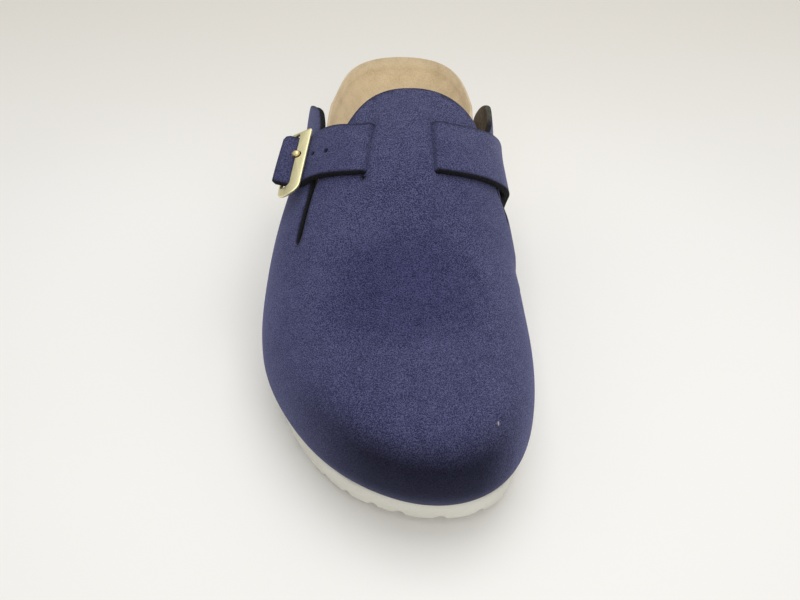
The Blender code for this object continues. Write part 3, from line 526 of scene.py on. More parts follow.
# Spots in plan, each by its place and its reach both ways: the darker middle of the vamp, the wider part
# of it where the grain is stronger, and a pale speck on the toe's medial flank.
VAMP = (3.0, -66.0, 34.0, 34.0)
VAMP_TONE = (0.60, 0.60, 0.72)
VAMP_GRAIN = (3.0, -54.0, 40.0, 52.0)
VAMP_GRAIN_GAIN = 0.8
SPECK = (33.9, -116.6, 0.4, 0.9)
SPECK_TONE = (0.34, 0.33, 0.32)
SUEDE_DARK = (0.52, 0.41, 0.255)
SUEDE = (0.62, 0.495, 0.32)
SUEDE_LIGHT = (0.69, 0.555, 0.37)
# The band of the heel cup's side that is made paler.
SUEDE_PALE_BAND = (("Z", 33.0, 39.0), ("Z", 47.5, 42.0), ("Y", 60.0, 90.0))
SUEDE_PALE_BAND_TONE = (1.12, 1.12, 1.12)
# From where to where the cut edges turn paler grey: fraying fibres, and painted light where these edges face
# up.
FRAYED_AND_LIT = ("Y", 30.0, 40.0)
FOAM_DARK = (0.66, 0.64, 0.57)
FOAM = (0.75, 0.735, 0.67)
FRAME_DARK = (0.78, 0.72, 0.44)
FRAME_METAL = (0.90, 0.84, 0.52)
PRONG_DARK = (0.84, 0.68, 0.33)
PRONG_METAL = (0.98, 0.87, 0.51)
FLOOR_DARK = (0.92, 0.91, 0.885)
FLOOR = (0.945, 0.935, 0.915)
FLOOR_FAR_SHADE = (0.81, 0.785, 0.73)
FLOOR_OUTER_SHADE = (0.870, 0.858, 0.838)
# From where to where the floor takes its far tone, and the spot round the shoe outside which it is darker:
# painted shade where the light falls off.
FLOOR_FAR_STEP = ("Y", 40.0, 330.0)
FLOOR_LIT = (0.0, -10.0, 250.0, 250.0)
FLOOR_HALF = 2.5

# Stage: name, place, target, size, power, colour, in metres and watts.
LIGHTS = (
    ("overhead", (0.06, 0.00, 0.80), (0.02, 0.0, 0.0), (0.60, 0.60), 2.75, (1.0, 0.99, 0.97)),
    ("front_fill", (0.15, -1.00, 1.00), (0.0, 0.0, 0.0), (1.00, 1.00), 5.0, (1.0, 0.99, 0.97)),
)
WORLD_COLOUR = (1.0, 0.995, 0.98)
WORLD_STRENGTH = 0.51
# The camera in the shoe's own frame, millimetres and degrees.
CAMERA_PLACE = (0.464, -345.848, 283.495)
CAMERA_ELEVATION = 39.634
CAMERA_ROLL = 0.86
CAMERA_LENS = 46.575
CAMERA_SENSOR = 36.0


def band(size, low, high):
    """Faces between two rings of one size, given the number of each ring's first point."""
    ahead = [(i + 1) % size for i in range(size)]
    return [(low + i, low + j, high + j, high + i) for i, j in enumerate(ahead)]


def bands(size, count):
    """Faces between the neighbours in a stack of equal rings."""
    return [face for k in range(count - 1) for face in band(size, k * size, (k + 1) * size)]


def tube(rings):
    """A closed mesh from a stack of equal rings, each end capped by one face."""
    size = len(rings[0])
    last = (len(rings) - 1) * size
    faces = [tuple(range(size))[::-1], *bands(size, len(rings)), tuple(range(last, last + size))]
    return np.concatenate(rings), faces


def loop_solid(rings):
    """A closed mesh from equal rings that start at the toe, its ends zipped from side to side."""
    size = len(rings[0])
    half = size // 2
    faces = bands(size, len(rings))
    cap = [(0, 1, size - 1)]
    cap += [(i, i + 1, size - i - 1, size - i) for i in range(1, half - 1)]
    cap += [(half - 1, half, half + 1)]
    last = (len(rings) - 1) * size
    faces += [face[::-1] for face in cap]
    faces += [tuple(last + i for i in face) for face in cap]
    return np.concatenate(rings), faces


def turns(count):
    return np.arange(count) * 2 * math.pi / count


def groove(path):
    """A bar with sloping sides along a plan path, from below the lugs to LUG_DEPTH into them."""
    path = np.asarray(path, float)
    side = left_of(np.gradient(path, axis=0))
    base = floor_rise(share_within(path))
    corners = []
    for half, rise in ((-GROOVE_FOOT / 2, -GROOVE_BELOW), (GROOVE_FOOT / 2, -GROOVE_BELOW),
                       (GROOVE_TOP / 2, LUG_DEPTH), (-GROOVE_TOP / 2, LUG_DEPTH)):
        corners.append(with_height(path + side * half, base + rise))
    return tube(np.stack(corners, 1))


def all_grooves():
    bars = []
    first = TOE_GROOVE_HUB[1] + GROOVE_PITCH
    last = HEEL_GROOVE_HUB[1] - GROOVE_PITCH / 2
    for y in np.arange(first, last, GROOVE_PITCH):
        x = np.linspace(-GROOVE_REACH, GROOVE_REACH, 21)
        wave = GROOVE_WAVE * np.sin(x * 2 * math.pi / GROOVE_WAVE_LENGTH)
        bars.append(groove(np.stack([x, y + wave], -1)))
    for hub, angles, ahead in ((TOE_GROOVE_HUB, TOE_GROOVES, -1), (HEEL_GROOVE_HUB, HEEL_GROOVES, 1)):
        for angle in np.radians(angles):
            reach = np.linspace(HUB_RADIUS, GROOVE_REACH, 5)[:, None]
            way = np.array((np.sin(angle), ahead * np.cos(angle)))
            bars.append(groove(np.array(hub) + reach * way))
    points, faces, count = [], [], 0
    for bar_points, bar_faces in bars:
        points.append(bar_points)
        faces += [tuple(count + i for i in face) for face in bar_faces]
        count += len(bar_points)
    return np.concatenate(points), faces


def with_height(plan, height):
    return np.concatenate([plan, np.asarray(height)[:, None]], -1)


def flat_place(turn, drop):
    """The skin laid flat for the cutting pattern: girth along each line from its ridge point."""
    spine = spine_place(share_of(turn))
    girth = np.array([np.interp(d, GIRTH_STEPS, table) for d, table in zip(drop, girths(turn))])
    return spine + unit(outline(turn) - spine) * girth[:, None]


def pattern_loops(spacing):
    """The upper's cut edge and its two bridge slits, each a closed loop of turn and drop."""
    foot = feather(share_at(REAR_FOOT)) + GAP
    lateral = [(REAR_FOOT, foot), *LATERAL_QUARTER]
    medial = [(REAR_FOOT, foot), *MEDIAL_QUARTER]
    lateral = [(girth_at_height(-1, y, z), y) for y, z in lateral]
    medial = [(girth_at_height(1, y, z), y) for y, z in medial]
    top = np.concatenate([lateral, LATERAL_SLIT, MEDIAL_SLIT[::-1], medial[::-1]])
    top = respaced(rounded(top, 3), spacing)
    reach = angle_of(share_at(REAR_FOOT))
    count = int(2 * reach * TURN_GIRTH / spacing)
    low = np.stack([np.linspace(reach, -reach, count), np.full(count, 2.0)], -1)
    loops = [np.concatenate([by_girth(top), low[1:-1]])]
    for rear_g, rear_y, front_g, front_y in BRIDGE_SLITS:
        half = SLIT_WIDTH / 2
        ends = np.array([(rear_g, rear_y), (front_g, front_y)])
        way = (ends[1] - ends[0]) / np.linalg.norm(ends[1] - ends[0]) * SLIT_END
        line = np.array([ends[0], ends[0] + way, ends[1] - way, ends[1]])
        ring = rounded(np.concatenate([line - (half, 0), line[::-1] + (half, 0)]), 1, closed=True)
        ring = respaced(np.concatenate([ring, ring[:1]]), min(spacing, 3.0))[:-1]
        loops.append(by_girth(ring))
    return loops


def slit_girth(slit, y):
    """Girth of a bridge slit's middle line at a station."""
    rear_g, rear_y, front_g, front_y = slit
    return rear_g + (y - rear_y) * (front_g - rear_g) / (front_y - rear_y)


def bridge_lift(points):
    """How far the leather between the slits is lifted over the strap, rising within the slits' width."""
    y = points[:, 1]
    girth = points[:, 0] - ridge_place(share_at(y))
    lift = BRIDGE_LIFT * eased((BRIDGE_FLAT + BRIDGE_FADE - np.abs(y - BRIDGE_MIDDLE)) / BRIDGE_FADE)
    for slit, side in zip(BRIDGE_SLITS, (-1, 1)):
        lift = lift * eased(0.5 - side * (girth - slit_girth(slit, y)) / (SLIT_WIDTH - 0.6))
    return lift


def grid_places(spacing):
    """Turn and drop of an even grid over the whole skin."""
    reach = angle_of(share_at(REAR_FOOT))
    rows = []
    for turn in np.linspace(-reach, reach, int(2 * reach * TURN_GIRTH / spacing)):
        table = girths(np.array([turn]))[0]
        step = np.arange(spacing * 0.5, table[-1] - spacing * 0.3, spacing)
        rows.append(np.stack([np.full(len(step), turn), np.interp(step, table, GIRTH_STEPS)], -1))
    return np.concatenate(rows)


def apart_from(places, others, distance):
    """Which places keep at least a distance from every other place."""
    keep = np.ones(len(places), bool)
    for start in range(0, len(places), 500):
        part = places[start:start + 500]
        gaps = np.linalg.norm(part[:, None] - others[None], axis=-1)
        keep[start:start + 500] = gaps.min(1) > distance
    return keep


def thinned(places, distance):
    """Indices of places that keep a distance from those kept before them."""
    cells = {}
    kept = []
    for i, place in enumerate(places):
        cell = tuple(np.floor(place / distance).astype(int))
        beside = [(cell[0] + dx, cell[1] + dy) for dx in (-1, 0, 1) for dy in (-1, 0, 1)]
        near = [k for place_cell in beside for k in cells.get(place_cell, ())]
        if all(np.linalg.norm(places[k] - place) >= distance for k in near):
            cells.setdefault(cell, []).append(i)
            kept.append(i)
    return kept


def filled(flat, loops):
    """Triangles over flat points, with the edges of the closed loops among them kept."""
    borders = [pair for loop in loops for pair in zip(loop, loop[1:] + loop[:1])]
    made = delaunay_2d_cdt([tuple(p) for p in flat], borders, [], 1, 1e-4)
    source = [ids[0] for ids in made[3]]
    return [[source[i] for i in face] for face in made[2]]


def cut_skin(spacing):
    """Points and triangles of the upper's outer face, cut to its pattern."""
    loops = pattern_loops(spacing)
    edge = np.concatenate(loops)
    edge_flat = flat_place(*edge.T)
    grid = grid_places(spacing)
    grid_flat = flat_place(*grid.T)
    keep = apart_from(grid_flat, edge_flat, spacing * 0.55)
    grid, grid_flat = grid[keep], grid_flat[keep]
    kept = thinned(grid_flat, spacing * 0.62)
    flat = np.concatenate([edge_flat, grid_flat[kept]])
    ids, start = [], 0
    for loop in loops:
        ids.append(list(range(start, start + len(loop))))
        start += len(loop)
    owner = {i: n for n, loop in enumerate(ids) for i in loop}
    # A triangle whose corners all lie on one slit's loop is the slit itself.
    faces = [face for face in filled(flat, ids) if {owner.get(i) for i in face} not in ({1}, {2})]
    return skin(*np.concatenate([edge, grid[kept]]).T), np.array(faces)


def point_normals(points, faces):
    a, b, c = (points[faces[:, i]] for i in range(3))
    face_normals = np.cross(b - a, c - a)
    normals = np.zeros_like(points)
    for i in range(3):
        np.add.at(normals, faces[:, i], face_normals)
    return normals / np.maximum(np.linalg.norm(normals, axis=1, keepdims=True), 1e-12)


def strap_rows(spacing):
    """Girth, station, lean, height, width share and thickness of the strap's cross lines, foot first."""
    foot_y = STRAP[0, 1]
    foot = girth_at_height(1, foot_y, feather(share_at(foot_y)) + STRAP_FOOT)
    inner = STRAP[1:-1, 0]
    marks = np.concatenate([[foot], inner, [STRAP[-1, 0]]])
    girth = [foot]
    for a, b in zip(marks, marks[1:]):
        girth += list(np.linspace(a, b, max(int(abs(b - a) / spacing), 1) + 1)[1:])
    girth = np.array(girth)
    knots = -STRAP[:, 0]
    y = natural_spline(knots, STRAP[:, 1])(-girth)
    lean = np.interp(-girth, knots, STRAP[:, 2])
    rise = np.interp(-girth, knots, STRAP[:, 3])
    thin, thin_from, thin_run = STRAP_SKIVE
    thick = STRAP_THICK * (1 - thin * eased((thin_from - girth) / thin_run))
    to_end = girth - STRAP[-1, 0]
    wide = np.interp(-girth, STRAP_SHARES[:, 0], STRAP_SHARES[:, 1])
    wide = wide - STRAP_END[0] * np.clip(1 - to_end / STRAP_END[1], 0, 1) ** 2
    return np.stack([girth, y, lean, rise, wide, thick], -1)


def buckle_axes():
    """Middle of the front bar, then the directions to the rear bar, along the bars and outwards."""
    front = above_skin(*FRONT_BAR)
    step = np.array([-1.0, 1.0]) * FRAME_HALF * 0.7
    ends = skin_at(FRONT_BAR[0] + BAR_LEAN * step, FRONT_BAR[1] + step)
    along = unit(ends[0] - ends[1])
    way = above_skin(*REAR_BAR) - front
    way -= along * (way @ along)
    return front, unit(way), along, np.cross(unit(way), along), np.linalg.norm(way)


def in_buckle(way, along, out):
    """A place by its way from the front bar over the bent frame, along the bars and outwards."""
    origin, e1, e2, e3, reach = buckle_axes()
    bend = math.radians(FRAME_BEND)
    radius = reach / (2 * math.sin(bend))
    angle = (way / reach - 0.5) * 2 * bend
    across = reach / 2 + (radius + out) * np.sin(angle)
    rise = (radius + out) * np.cos(angle) - radius * math.cos(bend)
    return origin + across[..., None] * e1 + along[..., None] * e2 + rise[..., None] * e3


def round_corners(start, end, heel, toe, radii):
    """A rounded rectangle in the buckle's plane, the same number of points whatever its size."""
    corners = ((start, heel, radii[0], 180), (end, heel, radii[1], 270),
               (end, toe, radii[2], 0), (start, toe, radii[3], 90))
    points = []
    for p, w, radius, angle in corners:
        centre = (p + math.copysign(radius, (start + end) / 2 - p), w + math.copysign(radius, -w))
        for a in np.radians(np.linspace(angle, angle + 90, FRAME_STEPS)):
            points.append((centre[0] + radius * np.cos(a), centre[1] + radius * np.sin(a)))
    return np.array(points)


def frame_loop(inner, ease):
    """The frame's outside or its window, eased into the metal: way from the front bar, along the bars."""
    reach = buckle_axes()[4]
    if inner:
        loop = round_corners(FRONT_BAR_WIDE / 2 - ease, reach - REAR_BAR_WIDE / 2 + ease,
                             HEEL_ARM - FRAME_HALF - ease, FRAME_HALF - TOE_ARM + ease,
                             INNER_RADII + ease)
    else:
        loop = round_corners(ease - FRONT_BAR_WIDE / 2, reach + REAR_BAR_WIDE / 2 - ease,
                             ease - FRAME_HALF, FRAME_HALF - ease, OUTER_RADII - ease)
    drawn_in = np.where(loop[:, 1] < 0, HEEL_TAPER * np.clip(loop[:, 0] / reach, 0, 1), 0)
    loop[:, 1] *= 1 - drawn_in
    return loop


def notch_body(count):
    """An upright cylinder at the edge of the front bar, where the ball sits."""
    turn = turns(count)
    way = FRONT_BAR_WIDE / 2 - HEAD_SET + NOTCH_RADIUS * np.cos(turn)
    along = NOTCH_RADIUS * np.sin(turn) - PRONG_BACK
    return tube([in_buckle(way, along, np.full(count, level)) for level in (-NOTCH_REACH, NOTCH_REACH)])


def prong_path():
    """Way, height and radius along the prong: ball head, shaft, then the loop round the rear bar."""
    reach = buckle_axes()[4]
    head = (FRONT_BAR_WIDE / 2 - HEAD_SET, HEAD_RISE)
    rows = []
    for a in np.radians(HEAD_ANGLES):
        rows.append((head[0] - BALL_RADIUS * math.cos(a), head[1], BALL_RADIUS * math.sin(a)))
    foot = (reach, -LOOP_RADIUS)
    for k, radius in SHAFT_STEPS:
        rows.append((head[0] + (foot[0] - head[0]) * k, head[1] + (foot[1] - head[1]) * k, radius))
    for a in np.radians(LOOP_ANGLES):
        rows.append((reach + LOOP_RADIUS * math.cos(a), LOOP_RADIUS * math.sin(a), LOOP_WIRE))
    return np.array(rows)


def prong_body(count):
    """The prong as a closed tube along its path."""
    rows = prong_path()
    travel = unit(np.gradient(rows[:, :2], axis=0))
    turn = turns(count)
    rings = []
    for (way, out, radius), (dw, do) in zip(rows, travel):
        swing = radius * np.cos(turn)
        rings.append(in_buckle(way - do * swing, radius * np.sin(turn) - PRONG_BACK, out + dw * swing))
    points, faces = tube(rings)
    return points, [face[::-1] for face in faces]


def tab_places(section, step):
    """A section line of the tab, carried sideways by a step along the buckle's rear bar."""
    aside = (step + PRONG_BACK) / math.sqrt(1 + BAR_LEAN ** 2)
    girth = REAR_BAR[0] + section[:, 0] + BAR_LEAN * aside
    y = REAR_BAR[1] - section[:, 0] * TAB_LEAN + aside
    return above_skin(girth, y, section[:, 1:])


def add_object(name, data):
    """A new object in the scene."""
    made = bpy.data.objects.new(name, data)
    bpy.context.scene.collection.objects.link(made)
    return made


def add_piece(name, points, faces, materials, picks=None, smooth=True):
    """A mesh object from points in millimetres; picks gives each face's material."""
    placed = (np.asarray(points) - MIDDLE) * MM
    mesh = bpy.data.meshes.new(name)
    mesh.from_pydata(placed.tolist(), [], [list(map(int, f)) for f in faces])
    for material in materials:
        mesh.materials.append(material)
    if picks is not None:
        mesh.polygons.foreach_set("material_index", np.asarray(picks, np.int32))
    mesh.polygons.foreach_set("use_smooth", np.full(len(mesh.polygons), smooth))
    mesh.update()
    return add_object(name, mesh)


def stand_for(piece, node):
    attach(piece, "root")
    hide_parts(node)


def apply_modifiers(piece):
    """The piece's mesh as its modifiers leave it, with no modifier left."""
    graph = bpy.context.evaluated_depsgraph_get()
    mesh = bpy.data.meshes.new_from_object(piece.evaluated_get(graph))
    piece.modifiers.clear()
    piece.data = mesh


def cut_out(piece, points, faces):
    """Cuts a closed shape, in millimetres, out of a piece."""
    cutter = add_piece("cutter", points, faces, [], smooth=False)
    cut = piece.modifiers.new("cut", "BOOLEAN")
    cut.operation = "DIFFERENCE"
    cut.solver = "EXACT"
    cut.object = cutter
    apply_modifiers(piece)
    bpy.data.objects.remove(cutter, do_unlink=True)


# The profile of a cut leather edge: share of the thickness, how far it stands out.
EDGE_PROFILE = ((0.10, 0.16), (0.30, 0.30), (0.50, 0.34), (0.70, 0.30), (0.90, 0.16))


def leather_wall(outer, faces, normals, thick):
    """A hide's points, faces, material picks (face 0, rounded cut edge 1, lining 2) and rim marks."""
    count = len(outer)
    ends = {(face[i], face[(i + 1) % 3]): True for face in faces for i in range(3)}
    rim = [(a, b) for a, b in ends if (b, a) not in ends]
    aside = np.zeros_like(outer)
    for a, b in rim:
        way = np.cross(outer[b] - outer[a], normals[a])
        aside[a] += way
        aside[b] += way
    on_rim = np.array(sorted({i for pair in rim for i in pair}))
    aside = unit(aside[on_rim])
    place = {v: 2 * count + k for k, v in enumerate(on_rim)}
    inward = normals * thick
    rows = [outer, outer - inward]
    for share, out in EDGE_PROFILE:
        rows.append(outer[on_rim] - inward[on_rim] * share + aside * out)
    points = np.concatenate(rows)
    made = [tuple(f) for f in faces] + [tuple(f[::-1] + count) for f in faces]
    picks = [0] * len(faces) + [2] * len(faces)
    for a, b in rim:
        down_a, down_b = ([i, *(place[i] + k * len(on_rim) for k in range(len(EDGE_PROFILE))), i + count]
                          for i in (a, b))
        made += zip(down_b, down_a, down_a[1:], down_b[1:])
    picks += [1] * (len(made) - len(picks))
    rim_share = np.zeros(len(points))
    rim_share[on_rim] = 1.0
    rim_share[2 * count:] = 1.0
    return points, made, picks, rim_share


def mark_rim(piece, share):
    """Keeps which points lie on a cut edge, and on the strap the painted shade beside the slits, for the
    hide's material.
    """
    layer = piece.data.attributes.new("rim", "FLOAT", "POINT")
    layer.data.foreach_set("value", np.asarray(share, np.float32))


def make_upper(hide):
    points, faces = cut_skin(UPPER_GRID)
    normals = point_normals(points, faces)
    points = points + normals * (bridge_lift(points) + relief(points))[:, None]
    normals = point_normals(points, faces)
    used = np.unique(faces)
    order = np.full(len(points), -1)
    order[used] = np.arange(len(used))
    made = leather_wall(points[used], order[faces], normals[used], WALL)
    piece = add_piece("upper_hide", made[0], made[1], hide, made[2])
    at_bridge = bridge_lift(made[0]) > 0.1
    mark_rim(piece, np.where(at_bridge, SLIT_SHADE * made[3], made[3]))
    stand_for(piece, "upper")


def relief(points):
    """Listed creases and swellings: how far the hide is raised at each point."""
    rise = np.zeros(len(points))
    for x0, y0, x1, y1, width, height in CREASES:
        start = np.array((x0, y0))
        way = np.array((x1, y1)) - start
        share = np.clip((points[:, :2] - start) @ way / (way @ way), 0, 1)
        gap = np.linalg.norm(points[:, :2] - start - share[:, None] * way, axis=1)
        rise += height * np.exp(-(gap / width) ** 2)
    return rise * np.where(points[:, 2] > CREASE_LOW, 1, CREASE_LOW_SHARE)


def make_strap(hide):
    rows = strap_rows(STRAP_GRID)
    share = np.linspace(-0.5, 0.5, STRAP_ACROSS)
    step = share[None] * (STRAP_WIDTH * rows[:, 4] / np.sqrt(1 + rows[:, 2] ** 2))[:, None]
    girth = rows[:, :1] + rows[:, 2:3] * step
    y = rows[:, 1:2] + step
    top = above_skin(girth, y, (rows[:, 3] + rows[:, 5] / 2)[:, None, None])
    across = len(share)
    faces = []
    for k in range(len(rows) - 1):
        for i in range(across - 1):
            a, b = k * across + i, (k + 1) * across + i
            faces.append((a, a + 1, b + 1))
            faces.append((a, b + 1, b))
    faces = np.array(faces)
    points = top.reshape(-1, 3)
    normals = point_normals(points, faces)
    thick = np.repeat(rows[:, 5], across)[:, None]
    made = leather_wall(points, faces, normals, thick)
    piece = add_piece("strap_hide", made[0], made[1], hide, made[2])
    rim = made[3]
    # Painted shade on the strap's top where it dives under the bridge's slits, kept with the rim marks.
    for slit in BRIDGE_SLITS:
        away = (girth - slit_girth(slit, y)).ravel() / SLIT_SHADE_WIDE
        rim[:len(points)] = np.maximum(rim[:len(points)], SLIT_SHADE * np.exp(-away ** 2))
    mark_rim(piece, rim)
    for hole in STRAP_HOLES:
        cut_out(piece, *hole_body(*hole))
    stand_for(piece, "instep_strap")


def hole_body(girth, y, rise, count=20):
    """A round bar through the strap at a girth and station."""
    normal = skin_normal(girth, y)
    middle = above_skin(girth, y, rise)
    side = unit(np.cross(normal, (0.0, 1.0, 0.0)))
    other = np.cross(normal, side)
    turn = turns(count)[:, None]
    ring = HOLE_RADIUS * (np.cos(turn) * side + np.sin(turn) * other)
    through = HOLE_REACH * normal
    return tube([middle + ring - through, middle + ring + through])


def footbed_side(turn, foot_inset, rim_inset, base, height):
    """Rings from the footbed's foot up its side and round its rim."""
    rings = []
    for k in np.linspace(0, 1, FOOTBED_SIDE_RINGS):
        lean = FOOTBED_LEAN * k
        mixed = foot_inset * (1 - lean) + rim_inset * lean - FOOTBED_BULGE * k * (1 - k)
        mixed = mixed * (1 - k ** 4) + rim_inset * k ** 4
        rings.append(with_height(inset_outline(turn, mixed), base + (height - RIM_ROUND[0]) * k))
    for bend in np.radians(np.linspace(15, 90, 6)):
        plan = inset_outline(turn, rim_inset + RIM_ROUND[1] * (1 - np.cos(bend)))
        rings.append(with_height(plan, base + height - RIM_ROUND[0] * (1 - np.sin(bend))))
    return rings


def footbed_top(turn, rim_line, top):
    """Rings from the rim inwards over the foot's surface, with the heel cup and the arch support."""
    share = share_of(turn)
    seat = natural_spline(FOOTBED[:, 0], FOOTBED[:, 1])
    back = np.clip((share - HEEL_FAN_SHARE) / (1 - HEEL_FAN_SHARE), 0, 1)
    spine = spine_share(share) - HEEL_FAN_PULL * back ** 2
    spine_line = np.stack([centre_line(angle_of(spine)), station(spine)], -1)
    medial = np.where(np.sin(turn) > 0, 1.0, 0.0)
    rings = []
    for reach in np.linspace(0.94, 0.03, FOOTBED_TOP_RINGS):
        plan = spine_line + (rim_line - spine_line) * reach
        at = share_within(plan)
        arch = ARCH_RISE * medial * np.exp(-((at - ARCH_PLACE) / ARCH_SPREAD) ** 2) * reach ** 2
        cup = reach ** CUP_POWER
        rings.append(with_height(plan, (feather(at) + GAP + seat(at) + arch) * (1 - cup) + top * cup))
    return rings


def make_footbed(suede, cork):
    turn = turns(FOOTBED_TURNS)
    share = share_of(turn)
    foot_inset, rim_inset = (np.interp(share, FOOTBED_EDGE[:, 0], FOOTBED_EDGE[:, n]) for n in (1, 2))
    base = feather(share_within(inset_outline(turn, foot_inset))) + GAP
    height = natural_spline(FOOTBED[:, 0], FOOTBED[:, 2])(share)
    side = footbed_side(turn, foot_inset, rim_inset, base, height)
    top = footbed_top(turn, inset_outline(turn, rim_inset), base + height)
    points, faces = loop_solid(side + top)
    picks = np.zeros(len(faces), int)
    picks[:FOOTBED_TURNS * (FOOTBED_SIDE_RINGS - 1)] = 1
    piece = add_piece("footbed_suede", points, faces, [suede, cork], picks)
    stand_for(piece, "footbed")


def make_sole(foam):
    turn = turns(SOLE_TURNS)
    share = share_of(turn)
    inset, shift = (np.interp(share, SOLE_EDGE[:, 0], SOLE_EDGE[:, n]) for n in (1, 2))
    wall = natural_spline(SOLE_WALL[:, 0], SOLE_WALL[:, 1])
    rings = []
    for down in np.linspace(1, 0, 15):
        plan = inset_outline(turn, inset + wall(down)) + np.stack([shift, 0 * shift], -1)
        at = share_within(plan)
        height = feather(at) * (1 - down) + floor_rise(at) * down
        rings.append(with_height(plan, height))
    points, faces = loop_solid(rings)
    piece = add_piece("sole_foam", points, faces, [foam])
    cut_out(piece, *all_grooves())
    soften = piece.modifiers.new("remesh", "REMESH")
    soften.mode = "VOXEL"
    soften.voxel_size = SOLE_VOXEL * MM
    soften.use_smooth_shade = True
    ease = piece.modifiers.new("ease", "SMOOTH")
    ease.factor = 0.5
    ease.iterations = 3
    apply_modifiers(piece)
    stand_for(piece, "outsole")


def make_frame(metal):
    half, ease = FRAME_THICK / 2, FRAME_ROUND
    bend = np.radians(np.linspace(-90, 90, 9))
    rows = [(ease * (1 - math.cos(b)), (half - ease) * np.sign(b) + ease * math.sin(b)) for b in bend]
    loops = [(frame_loop(False, inward), level) for inward, level in rows]
    loops += [(frame_loop(True, inward), level) for inward, level in rows[::-1]]
    rings = [in_buckle(loop[:, 0], loop[:, 1], np.full(len(loop), level)) for loop, level in loops]
    size = len(rings[0])
    faces = bands(size, len(rings)) + band(size, (len(rings) - 1) * size, 0)
    piece = add_piece("buckle_frame_metal", np.concatenate(rings), faces, [metal])
    cut_out(piece, *notch_body(NOTCH_COUNT))
    smooth_by_angle(piece)
    stand_for(piece, "buckle_frame")


def smooth_by_angle(piece):
    """Smooth shading, with edges sharper than SMOOTH_ANGLE left crisp."""
    piece.data.shade_smooth()
    piece.data.set_sharp_from_angle(angle=math.radians(SMOOTH_ANGLE))


def make_prong(metal):
    points, faces = prong_body(PRONG_COUNT)
    piece = add_piece("buckle_prong_metal", points, faces, [metal])
    stand_for(piece, "buckle_prong")


def tab_slot():
    """A box through the tab, round the prong's loop."""
    way = buckle_axes()[4] + np.array(TAB_SLOT_WAY)[[0, 1, 1, 0]]
    along = np.array([-1, -1, 1, 1]) * TAB_SLOT / 2 - PRONG_BACK
    return tube([in_buckle(way, along, np.full(4, level)) for level in TAB_SLOT_OUT])


def make_tab(hide):
    outside = respaced(rounded(np.concatenate([TAB_OUTSIDE, TAB_OUTSIDE[:1]]), 1), 0.7)[:-1]
    eye = respaced(np.concatenate([TAB_EYE, TAB_EYE[:1]]), 0.9)[:-1]
    section = np.concatenate([outside, eye])
    size, edge = len(section), len(outside)
    loops = [list(range(edge)), list(range(edge, size))]
    cap = [face for face in filled(section, loops) if min(face) < edge]
    steps = np.linspace(-TAB_HALF, TAB_HALF, 15)
    points = np.concatenate([tab_places(section, step) for step in steps])
    last = (len(steps) - 1) * size
    faces = [tuple(face) for face in cap] + [tuple(last + i for i in face[::-1]) for face in cap]
    picks = [1] * len(faces)
    for k in range(len(steps) - 1):
        here, there = k * size, (k + 1) * size
        faces += band(edge, there, here) + band(size - edge, here + edge, there + edge)
        picks += [0] * edge + [2] * (size - edge)
    piece = add_piece("buckle_tab_hide", points, faces, hide, picks)
    cut_out(piece, *tab_slot())
    smooth_by_angle(piece)
    stand_for(piece, "buckle_tab")


# Materials


